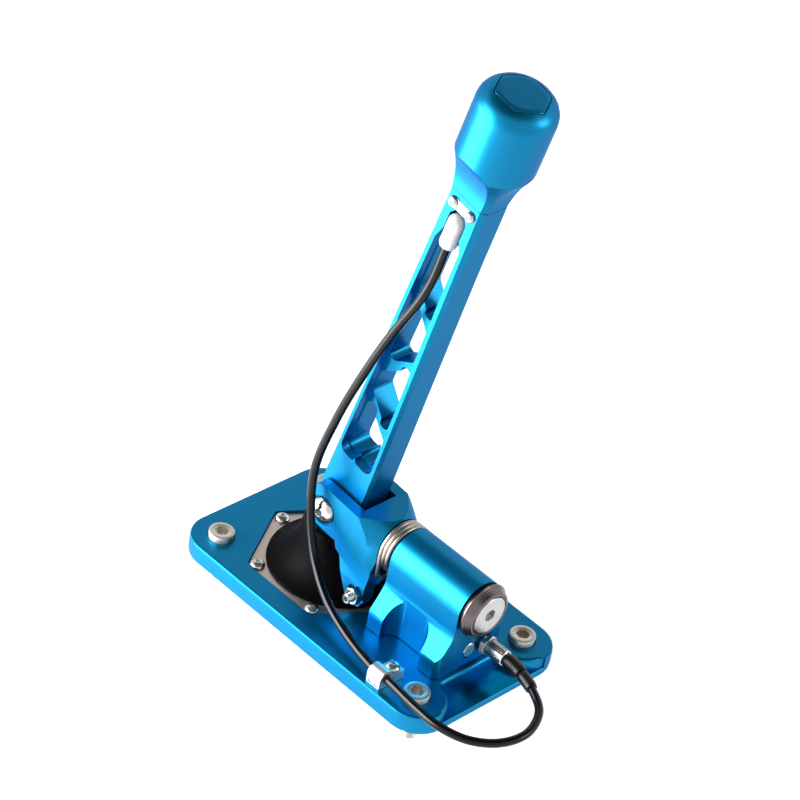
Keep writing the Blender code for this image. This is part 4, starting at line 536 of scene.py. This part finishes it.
housingBolt = {"head": 0.005, "tall": 0.006, "shank": 0.003, "below": 0.0122, "thread": 0.008,
               "pitch": 0.001, "socket": 0.0025, "seat": 0.0063, "x": (0.0255, 0.0618), "y": 0.0172}
bolts = [(x, sy * housingBolt["y"]) for x in housingBolt["x"] for sy in (-1, 1)]
placeCopies(makeCapScrew(housingBolt), "housing_bolt",
            [place(x, y, housingBolt["seat"], "-Z") for x, y in bolts], "base", zincSteel)

ringScrew = {"head": 0.0038, "tall": 0.0022, "shank": 0.002, "below": 0.009, "pitch": 0.0007,
             "socket": 0.00095, "seat": 0.0094, "circle": 0.0395, "count": 6}
around = [math.tau * n / ringScrew["count"] for n in range(ringScrew["count"])]
placeCopies(makeButtonScrew(ringScrew), "ring_screw",
            [place(pivot["x"] + ringScrew["circle"] * math.cos(a), ringScrew["circle"] * math.sin(a),
                   ringScrew["seat"]) for a in around], "base", zincSteel)

clampScrew = {"head": 0.0036, "tall": 0.0022, "shank": 0.002, "below": 0.014, "pitch": 0.0007,
              "socket": 0.0009, "x": 0.0525, "y": -0.0361, "seat": 0.0163}
placeCopies(makeButtonScrew(clampScrew), "clamp_screw",
            [place(clampScrew["x"], clampScrew["y"], clampScrew["seat"])], "base", zincSteel)

stripScrew = {"head": 0.00275, "tall": 0.0016, "shank": 0.0015, "below": 0.005, "pitch": 0.0005,
              "socket": 0.0007, "places": (-0.0048, 0.006), "s": 0.1993, "seat": -0.0096}
placeCopies(makeButtonScrew(stripScrew), "retainer_screw",
            [leverFrame @ place(w, stripScrew["seat"], stripScrew["s"], "-Y") for w in stripScrew["places"]],
            "lever", zincSteel)

pivotBolt = {"head": 0.007, "tall": 0.0042, "shank": 0.004, "below": 0.0391, "pitch": 0.00125,
             "socket": 0.0019, "seat": -0.0153}
placeCopies(makeButtonScrew(pivotBolt), "pivot_bolt",
            [place(pivot["x"], pivotBolt["seat"], pivot["leverZ"], "-Y")], "yoke", zincSteel)

# Shares of half the flats, the corner's radius, the bore and the height.
nutForm = {"chamfer": 0.96, "clear": 1.01, "rise": 0.14, "mouthLow": (0.9, 0.86), "mouthTop": (1.18, 1.02)}


def makeNut(size):  # a hexagon with both ends chamfered, its start at height 0
    half, tall, bore = size["flats"] / 2, size["tall"], size["bore"]
    corner = half / math.cos(math.pi / 6)
    dropAll()
    bpy.ops.mesh.primitive_cylinder_add(vertices=6, radius=corner, depth=tall, location=(0, 0, tall / 2),
                                        rotation=(0, 0, size["turn"]))
    nut = bpy.context.object
    bpy.ops.object.transform_apply(location=True, rotation=True, scale=True)
    rise, narrow, wide = tall * nutForm["rise"], half * nutForm["chamfer"], corner * nutForm["clear"]
    dome = [(narrow, 0.0), (wide, rise), (wide, tall - rise), (narrow, tall)]
    carve(nut, turnOnLathe("nut_chamfer", dome), "INTERSECT")
    drill(nut, bore, -tall, 2 * tall)
    mouth = [(bore * out, tall * up) for out, up in (nutForm["mouthLow"], nutForm["mouthTop"])]
    carve(nut, turnOnLathe("nut_mouth", mouth, 32))
    smooth(nut, 28)
    return nut


stopNut = {"flats": 0.008, "tall": 0.004, "bore": 0.0028, "x": 0.0066, "z": 0.0191, "start": 0.0171,
           "turn": 0.0}
pivotNut = {"flats": 0.013, "tall": 0.0065, "bore": 0.0043, "start": 0.0153, "turn": 0.0}
lockNut = {"flats": 0.01, "tall": 0.0024, "bore": 0.0033, "x": 0.0686, "y": 0.0096, "z": 0.02,
           "turn": math.radians(20)}


def stopPlaces(out):  # on the stop screws' line, that far out to both sides
    return [place(stopNut["x"], -out, stopNut["z"], "-Y"), place(stopNut["x"], out, stopNut["z"], "Y")]


placeCopies(makeNut(stopNut), "stop_nut", stopPlaces(stopNut["start"]), "yoke", zincSteel)
placeCopies(makeNut(pivotNut), "pivot_nut", [place(pivot["x"], pivotNut["start"], pivot["leverZ"], "Y")],
            "yoke", zincSteel)
placeCopies(makeNut(lockNut), "adjuster_nut", [place(lockNut["x"], lockNut["y"], lockNut["z"], "X")],
            "base", zincSteel)

stopScrew = {"radius": 0.0025, "inner": 0.0082, "outer": 0.0243, "pitch": 0.0008, "lead": 0.0004,
             "threadLead": 0.0005, "rim": 0.85, "socket": 0.00125, "depth": 0.0025}
length = stopScrew["outer"] - stopScrew["inner"]
grub = turnOnLathe("stop_screw", [
    (stopScrew["radius"] * thread["tip"], 0.0), (stopScrew["radius"], stopScrew["lead"]),
    *threadStations(stopScrew["radius"], stopScrew["threadLead"], length - stopScrew["threadLead"],
                    stopScrew["pitch"]),
    (stopScrew["radius"], length - stopScrew["lead"]), (stopScrew["radius"] * stopScrew["rim"], length)], 32)
cutSocket(grub, stopScrew["socket"], length - stopScrew["depth"], length + overrun)
smooth(grub, 34)
placeCopies(grub, "stop_screw", stopPlaces(stopScrew["inner"]), "yoke", zincSteel)
print("screws and nuts placed")

# End cap and its screw. The edges are steps off the radius and up from the cap's back, or from its front.
cap = {"start": 0.0692, "back": 0.0143, "front": 0.0118, "length": 0.0049, "sink": 0.0103, "land": 0.0004,
       "lip": 0.0012, "above": 0.0005, "sides": 96,
       "backEdge": ((-0.0003, 0.0), (0.0, 0.0002), (0.0, 0.0008), (-0.0004, 0.0012)),
       "frontEdge": ((0.0003, -0.0005), (0.0001, -0.0002), (-0.0003, 0.0))}
capPiece = turnOnLathe("end_cap_fine", [
    *[(cap["back"] + out, up) for out, up in cap["backEdge"]],
    *[(cap["front"] + out, cap["length"] + up) for out, up in cap["frontEdge"]]], cap["sides"])
narrowest = cap["sink"] - cap["length"] + cap["land"]
carve(capPiece, turnOnLathe("sink", [
    (narrowest, -overrun), (narrowest, cap["land"]), (cap["sink"], cap["length"] - cap["lip"]),
    (cap["sink"], cap["length"] + cap["above"])], cap["sides"]))
smooth(capPiece, 24)
settle(capPiece, place(cap["start"], 0, pivot["shaftZ"], "X"))
dress(capPiece, turnedStainless, "yoke", "end_cap")

capScrew = {"head": 0.0098, "shank": 0.005, "face": 0.0743, "length": 0.0222, "lead": 0.001,
            "threadEnd": 0.0062, "neck": 0.0058, "coneStart": 0.0051, "coneEnd": 0.0015, "edge": 0.00015,
            "pitch": 0.0015, "socket": 0.003, "depth": 0.003, "turn": 0.35}
firstTurn = -capScrew["length"] + capScrew["lead"]
capBolt = turnOnLathe("end_cap_screw_fine", [
    (capScrew["shank"] * thread["tip"], -capScrew["length"]), (capScrew["shank"], firstTurn),
    *threadStations(capScrew["shank"], firstTurn, -capScrew["threadEnd"], capScrew["pitch"]),
    (capScrew["shank"], -capScrew["neck"]), (capScrew["shank"], -capScrew["coneStart"]),
    (capScrew["head"], -capScrew["coneEnd"]), (capScrew["head"], -capScrew["edge"]),
    (capScrew["head"] - capScrew["edge"], 0.0)], cap["sides"])
cutSocket(capBolt, capScrew["socket"], -capScrew["depth"], overrun, capScrew["turn"])
smooth(capBolt, 24)
settle(capBolt, place(capScrew["face"], 0, pivot["shaftZ"], "X"))
dress(capBolt, zincSteel, "yoke", "end_cap_screw")

# Adjuster barrel.
barrel = {"thread": 0.003, "tip": 0.0572, "tipShare": 0.85, "pitch": 0.0008, "start": 0.0712,
          "length": 0.0105, "radius": 0.0041, "edge": 0.0005, "endEdge": 0.0004, "flutes": 24,
          "depth": 0.0005, "land": 0.00004, "lip": 0.0013, "y": 0.0096, "z": 0.02}
barrelEnd = barrel["start"] + barrel["length"]
grip = turnOnLathe("adjuster_barrel_fine", [
    (barrel["thread"] * barrel["tipShare"], barrel["tip"]), (barrel["thread"], barrel["tip"] + 0.0005),
    *threadStations(barrel["thread"], barrel["tip"] + 0.0006, barrel["start"] - 0.0004, barrel["pitch"]),
    (barrel["thread"], barrel["start"] - 0.0003), (barrel["thread"], barrel["start"]),
    (barrel["radius"] - barrel["edge"], barrel["start"]), (barrel["radius"], barrel["start"] + barrel["edge"]),
    (barrel["radius"], barrelEnd - barrel["lip"]), (barrel["radius"], barrelEnd - barrel["endEdge"]),
    (barrel["radius"] - barrel["endEdge"], barrelEnd)], barrel["flutes"] * 2)
takeUp(grip)
bpy.ops.object.mode_set(mode="EDIT")
middle = barrel["start"] + (barrel["length"] - barrel["lip"] + barrel["edge"]) / 2


def isFlute(face):  # every second long face of the grip
    spot = face.calc_center_median()
    step = math.degrees(math.atan2(spot.y, spot.x)) % 360 / (180 / barrel["flutes"])
    onGrip = abs(spot.z - middle) < 0.001 and math.hypot(spot.x, spot.y) > barrel["radius"] * 0.95
    return onGrip and int(step) % 2 == 0


choose(grip, "FACE", isFlute)
bpy.ops.mesh.inset(thickness=barrel["land"], depth=-barrel["depth"], use_individual=True)
bpy.ops.object.mode_set(mode="OBJECT")
smooth(grip, 20)
settle(grip, place(0, barrel["y"], barrel["z"], "X"))
dress(grip, zincSteel, "base", "adjuster_barrel")
print("cap and adjuster made")

# Ferrule. Its foot is steps off the radius and up from the bottom, its dome a quarter ellipse.
ferrule = {"radius": 0.00425, "bottom": 0.1765, "length": 0.0182, "dome": 0.0035, "w": 0.0006, "y": -0.00835,
           "foot": ((-0.0016, 0.0), (-0.0007, 0.0003), (-0.0002, 0.0009), (0.0, 0.0018)),
           "angles": (0, 12, 24, 36, 48, 60, 72, 82)}
top = ferrule["bottom"] + ferrule["length"]
stations = [(ferrule["radius"] + out, ferrule["bottom"] + up) for out, up in ferrule["foot"]]
for angle in ferrule["angles"]:
    a = math.radians(angle)
    stations.append((ferrule["radius"] * math.cos(a), top - ferrule["dome"] * (1 - math.sin(a))))
ferrulePiece = turnOnLathe("cable_ferrule_fine", stations)
smooth(ferrulePiece, 40)
settle(ferrulePiece, leverFrame @ Matrix.Translation((ferrule["w"], ferrule["y"], 0)))
dress(ferrulePiece, turnedNylon, "lever", "cable_ferrule")

# Rubber boot.
boot = {"plate": 0.0105, "height": 0.0265, "ring": 0.0343, "foot": 0.024, "neck": 0.0188, "mouth": 0.0152,
        "wall": 0.0015, "flange": 0.0363, "flangeLow": 0.0044, "flangeHigh": 0.0058, "fall": 0.0052,
        "rows": 14, "crowding": 1.6, "bendLow": 0.012, "bendHigh": 0.036}


def bootRadius(height):  # a quick flare at the foot, then a long taper, as the solid has
    flare = (boot["ring"] - boot["foot"]) * math.exp(-height / boot["fall"])
    return boot["neck"] + (boot["foot"] - boot["neck"]) * (1 - height / boot["height"]) + flare


levels = [boot["height"] * (i / boot["rows"]) ** boot["crowding"] for i in range(boot["rows"] + 1)]
rimTop = boot["plate"] + boot["height"]
stations = [(boot["ring"] - boot["wall"], boot["flangeLow"]), (boot["flange"], boot["flangeLow"]),
            (boot["flange"], boot["flangeHigh"]), (boot["ring"], boot["flangeHigh"])]
stations += [(bootRadius(h), boot["plate"] + h) for h in levels]
stations += [(boot["neck"] - 0.0008, rimTop + 0.0003), (boot["mouth"] + 0.0004, rimTop + 0.0001),
             (boot["mouth"], rimTop - 0.0004), (boot["mouth"], rimTop - boot["wall"])]
stations += [(bootRadius(h) - boot["wall"], boot["plate"] + h - boot["wall"]) for h in reversed(levels[:-2])]
bootPiece = turnOnLathe("boot_fine", stations, 72)
bpy.ops.object.mode_set(mode="EDIT")
choose(bootPiece, "FACE", lambda face: len(face.verts) > 4)  # both lids go, so the lever can pass
bpy.ops.mesh.delete(type="ONLY_FACE")
choose(bootPiece, "EDGE", lambda edge: edge.is_boundary)
bpy.ops.mesh.bridge_edge_loops()
bpy.ops.mesh.select_all(action="SELECT")
bpy.ops.mesh.normals_make_consistent(inside=False)
bpy.ops.object.mode_set(mode="OBJECT")
smooth(bootPiece, 50)
settle(bootPiece, Matrix.Translation((pivot["x"], 0, 0)))
bootPiece.data.materials.clear()
bootPiece.data.materials.append(bootRubber)
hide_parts("boot")
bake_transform(bootPiece)
print("boot and ferrule made")


# Wires, cable and sleeves.
def route(knots, spacing, fine=24):  # an evenly spaced line through the knots, centripetal
    knots = [Vector(k) for k in knots]
    ends = [knots[0] * 2 - knots[1], *knots, knots[-1] * 2 - knots[-2]]
    dense = []
    for a, b, c, d in zip(ends, ends[1:], ends[2:], ends[3:]):
        t1 = (b - a).length ** 0.5
        t2 = t1 + (c - b).length ** 0.5
        t3 = t2 + (d - c).length ** 0.5
        for i in range(fine):
            t = t1 + (t2 - t1) * i / fine
            ab = a.lerp(b, t / t1)
            bc = b.lerp(c, (t - t1) / (t2 - t1))
            cd = c.lerp(d, (t - t2) / (t3 - t2))
            near, far = ab.lerp(bc, t / t2), bc.lerp(cd, (t - t1) / (t3 - t1))
            dense.append(near.lerp(far, (t - t1) / (t2 - t1)))
    dense.append(knots[-1])
    lengths = [0.0]
    for p, q in zip(dense, dense[1:]):
        lengths.append(lengths[-1] + (q - p).length)
    count = max(2, round(lengths[-1] / spacing))
    points, k = [], 0
    for i in range(count + 1):
        goal = lengths[-1] * i / count
        while k < len(dense) - 2 and lengths[k + 1] < goal:
            k += 1
        points.append(dense[k].lerp(dense[k + 1], (goal - lengths[k]) / (lengths[k + 1] - lengths[k])))
    return points


def drawTube(name, points, radius, resolution=6, widths=None):  # a round wire along the points, made a mesh
    curve = bpy.data.curves.new(name, "CURVE")
    curve.dimensions = "3D"
    curve.bevel_depth = radius
    curve.bevel_resolution = resolution
    curve.use_fill_caps = True
    spline = curve.splines.new("POLY")
    spline.points.add(len(points) - 1)
    for i, (spot, point) in enumerate(zip(spline.points, points)):
        spot.co = (*point, 1.0)
        spot.radius = widths[i] if widths else 1.0
    wire = bpy.data.objects.new(name, curve)
    bpy.context.scene.collection.objects.link(wire)
    takeUp(wire)
    bpy.ops.object.convert(target="MESH")
    wire = bpy.context.object
    smooth(wire, 40)
    return wire


def leverPoint(w, y, s):
    return tuple(leverFrame @ Vector((w, y, s)))


# The cable is in three pieces: from lever to yoke, from yoke to base, and the loop at rest on the base.
cable = {"radius": 0.00215, "sleeve": 0.0037, "sleeveLength": 0.0118, "step": 0.00315, "stepLength": 0.0102,
         "spacing": 0.0003, "every": 4, "sleeveEvery": 2, "bendTop": leverPoint(0, -0.009, 0.12),
         "hip": (-0.0242, -0.0237, 0.0463), "bendEnd": (0.03, -0.0405, 0.0165),
         "clamp": (0.0525, -0.0442, 0.016)}
knots = [
    leverPoint(0.0006, -0.00835, 0.1762), leverPoint(0.0012, -0.00915, 0.1565),
    (0.0057, -0.0106, 0.1884), (-0.0049, -0.0129, 0.1640), (-0.0150, -0.0157, 0.1358),
    (-0.0242, -0.0186, 0.1042), (-0.0296, -0.0212, 0.0722), (-0.0242, -0.0237, 0.0463),
    (-0.0142, -0.0278, 0.0315), (0.0021, -0.0335, 0.0212), (0.0240, -0.0396, 0.0170),
    (0.04825, -0.0442, 0.016), (0.05675, -0.0442, 0.016), (0.0787, -0.0465, 0.0162),
    (0.0940, -0.0468, 0.0165), (0.1090, -0.0420, 0.0168), (0.1190, -0.0315, 0.0172),
    (0.1222, -0.0172, 0.0178), (0.1156, -0.0022, 0.0185), (0.1035, 0.0052, 0.0194),
    (0.0935, 0.0082, 0.0199), (0.0857, 0.0096, 0.02), (0.0820, 0.0096, 0.02),
]
line = route(knots, cable["spacing"])
largeStart = len(line) - round(cable["sleeveLength"] / cable["spacing"])
smallStart = largeStart - round(cable["stepLength"] / cable["spacing"])


def nearest(point):
    return min(range(len(line)), key=lambda i: (line[i] - Vector(point)).length)


hip, clamped, every = nearest(cable["hip"]), nearest(cable["clamp"]), cable["every"]
cableUpper = drawTube("cable_upper", line[:hip + 1:every] + [line[hip]], cable["radius"])
cableLower = drawTube("cable_lower", line[hip:clamped + 1:every] + [line[clamped]], cable["radius"])
cableLoop = drawTube("cable_loop", line[clamped:smallStart:every], cable["radius"])
for piece in (cableUpper, cableLower):
    piece.data.materials.append(cableSheath)
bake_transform(cableUpper)
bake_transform(cableLower)
dress(cableLoop, cableSheath, "base")
for piece in (cableUpper, cableLower, cableLoop):
    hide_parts("cable")

shrinking = {"drawnIn": 0.1, "ends": 3, "wave": 0.012, "waveStep": 1.9}


def sleeveWidths(count):  # drawn in at both ends, with a faint wave from the shrinking
    widths = []
    for i in range(count):
        inward = min(1.0, min(i, count - 1 - i) / shrinking["ends"])
        wave = 1 + shrinking["wave"] * math.sin(i * shrinking["waveStep"])
        widths.append((1 - shrinking["drawnIn"] + shrinking["drawnIn"] * inward) * wave)
    return widths


sleeves = {  # node: its stretch of the line, radius
    "sleeve_large": (line[largeStart::cable["sleeveEvery"]], cable["sleeve"]),
    "sleeve_small": (line[smallStart:largeStart:cable["sleeveEvery"]], cable["step"]),
}
for node, (points, radius) in sleeves.items():
    sleeve = drawTube(node + "_fine", points, radius, widths=sleeveWidths(len(points)))
    dress(sleeve, shrinkTube, "base", node)

spring = {"radius": 0.01305, "wire": 0.0011, "pitch": 0.0023, "turns": 2.5, "steps": 48, "x": 0.01315,
          "legStart": 0.004, "legDrop": 0.0145, "hook": 0.0055, "bend": 0.0028, "bendSteps": 8,
          "hookY": 0.0029}


def springLeg(x, side):  # down from the coil, in to the pin and down again
    bend, hookZ, quarter = spring["bend"], pivot["shaftZ"] - spring["legDrop"], spring["bendSteps"]
    leg = [(side * spring["radius"], pivot["shaftZ"] - spring["legStart"])]
    for i in range(quarter + 1):
        a = math.radians(-90 * i / quarter) if side > 0 else math.radians(180 + 90 * i / quarter)
        leg.append((side * (spring["radius"] - bend) + bend * math.cos(a), hookZ + bend + bend * math.sin(a)))
    for i in range(quarter + 1):
        a = math.radians(90 + 90 * i / quarter) if side > 0 else math.radians(90 - 90 * i / quarter)
        leg.append((side * (spring["hookY"] + bend) + bend * math.cos(a), hookZ - bend + bend * math.sin(a)))
    leg.append((side * spring["hookY"], hookZ - spring["hook"] - bend))
    return [(x, y, z) for y, z in leg]


coil = []
for i in range(int(spring["turns"] * spring["steps"]) + 1):
    a = math.pi - math.tau * i / spring["steps"]
    coil.append((spring["x"] + spring["pitch"] * i / spring["steps"], spring["radius"] * math.cos(a),
                 pivot["shaftZ"] + spring["radius"] * math.sin(a)))
springLine = [*reversed(springLeg(coil[0][0], -1)), *coil, *springLeg(coil[-1][0], 1)]
springPiece = drawTube("torsion_spring_fine", springLine, spring["wire"], 5)
dress(springPiece, springSteel, "base", "torsion_spring")
print("cable, sleeves and spring drawn")

# Floor, light and camera. wallTop and ceilingStart are sines: white up to 38 degrees, dark over 52.
studio = {"floorZ": cadBox[0][2] - 0.0005, "floorSize": 12.0, "paper": "#F2F2F2", "paperRough": 0.9,
          "paperGlow": 0.62, "skyDiffuse": 0.48, "skySeen": 1.0,
          "wallTop": 0.62, "ceilingStart": 0.79, "ceiling": 0.1}


def addSeen(tree):  # 1 for what is looked at, straight or in a reflection, and 0 for the light on a surface
    rays = addNode(tree, "ShaderNodeLightPath").outputs
    seen = addNode(tree, "ShaderNodeMath", {0: rays["Is Camera Ray"], 1: rays["Is Glossy Ray"]},
                   operation="ADD").outputs[0]
    return addNode(tree, "ShaderNodeMath", {0: seen, 1: rays["Is Transmission Ray"]},
                   operation="ADD").outputs[0]


dropAll()
bpy.ops.mesh.primitive_plane_add(size=studio["floorSize"], location=(0, 0, studio["floorZ"]))
floor = bpy.context.object
floor.name = "floor"
floorLook, tree, shader, _ = newLook("pale_paper", studio["paper"], 0.0, studio["paperRough"])  # matt paper
glow = addNode(tree, "ShaderNodeMath", {0: addSeen(tree), 1: studio["paperGlow"]}, operation="MULTIPLY")
shader.inputs["Emission Color"].default_value = (1, 1, 1, 1)
tree.links.new(glow.outputs[0], shader.inputs["Emission Strength"])
floor.data.materials.append(floorLook)

world = bpy.data.worlds.new("pale_studio")
bpy.context.scene.world = world
world.use_nodes = True
tree = world.node_tree
sky = tree.nodes["Background"]
skyLevel = addNode(tree, "ShaderNodeMapRange", {"Value": addSeen(tree), "To Min": studio["skyDiffuse"],
                                                "To Max": studio["skySeen"]})
way = addNode(tree, "ShaderNodeTexCoord").outputs["Generated"]
sine = addNode(tree, "ShaderNodeSeparateXYZ", {"Vector": way}).outputs["Z"]
ceiling = addNode(tree, "ShaderNodeMapRange", {"Value": sine, "From Min": studio["wallTop"],
                                               "From Max": studio["ceilingStart"], "To Min": 1.0,
                                               "To Max": studio["ceiling"]}, interpolation_type="SMOOTHSTEP")
brightness = addNode(tree, "ShaderNodeMath", {0: skyLevel.outputs["Result"], 1: ceiling.outputs["Result"]},
                     operation="MULTIPLY")
tree.links.new(brightness.outputs[0], sky.inputs["Strength"])
sky.inputs["Color"].default_value = (1, 1, 1, 1)

lamps = {  # name: place, aim, size, watts
    "key_left": ((-0.85, -1.3, 0.4), (0.0, 0.0, 0.1), 1.1, 24.0),
    "low_left": ((-0.2, -0.27, 0.13), (0.0, 0.0, 0.06), 0.32, 3.0),
    "low_right": ((1.2, 0.82, 0.72), (0.0, 0.0, 0.12), 0.6, 6.0),
}
for name, (spot, aim, size, watts) in lamps.items():
    light = bpy.data.lights.new(name, "AREA")
    light.size, light.energy = size, watts
    lamp = bpy.data.objects.new(name, light)
    bpy.context.scene.collection.objects.link(lamp)
    lamp.location = spot
    lamp.rotation_euler = (Vector(spot) - Vector(aim)).to_track_quat("Z", "Y").to_euler()

shot = {"right": (0.68364, 0.71368, 0.15263), "up": (-0.51433, 0.32276, 0.79454),
        "back": (0.51778, -0.62168, 0.58772), "spot": (0.73899, -0.89179, 0.96488),
        "lens": 139.42, "sensor": 36.0, "nearest": 0.05, "farthest": 50.0}
cameraData = bpy.data.cameras.new("camera")
cameraData.lens, cameraData.sensor_width = shot["lens"], shot["sensor"]
cameraData.clip_start, cameraData.clip_end = shot["nearest"], shot["farthest"]
camera = bpy.data.objects.new("camera", cameraData)
bpy.context.scene.collection.objects.link(camera)
rows = zip(zip(shot["right"], shot["up"], shot["back"]), shot["spot"])
camera.matrix_world = Matrix([[*row, spot] for row, spot in rows] + [[0, 0, 0, 1]])
bpy.context.scene.camera = camera
bpy.context.scene.view_settings.view_transform = "Standard"
print("studio set up")
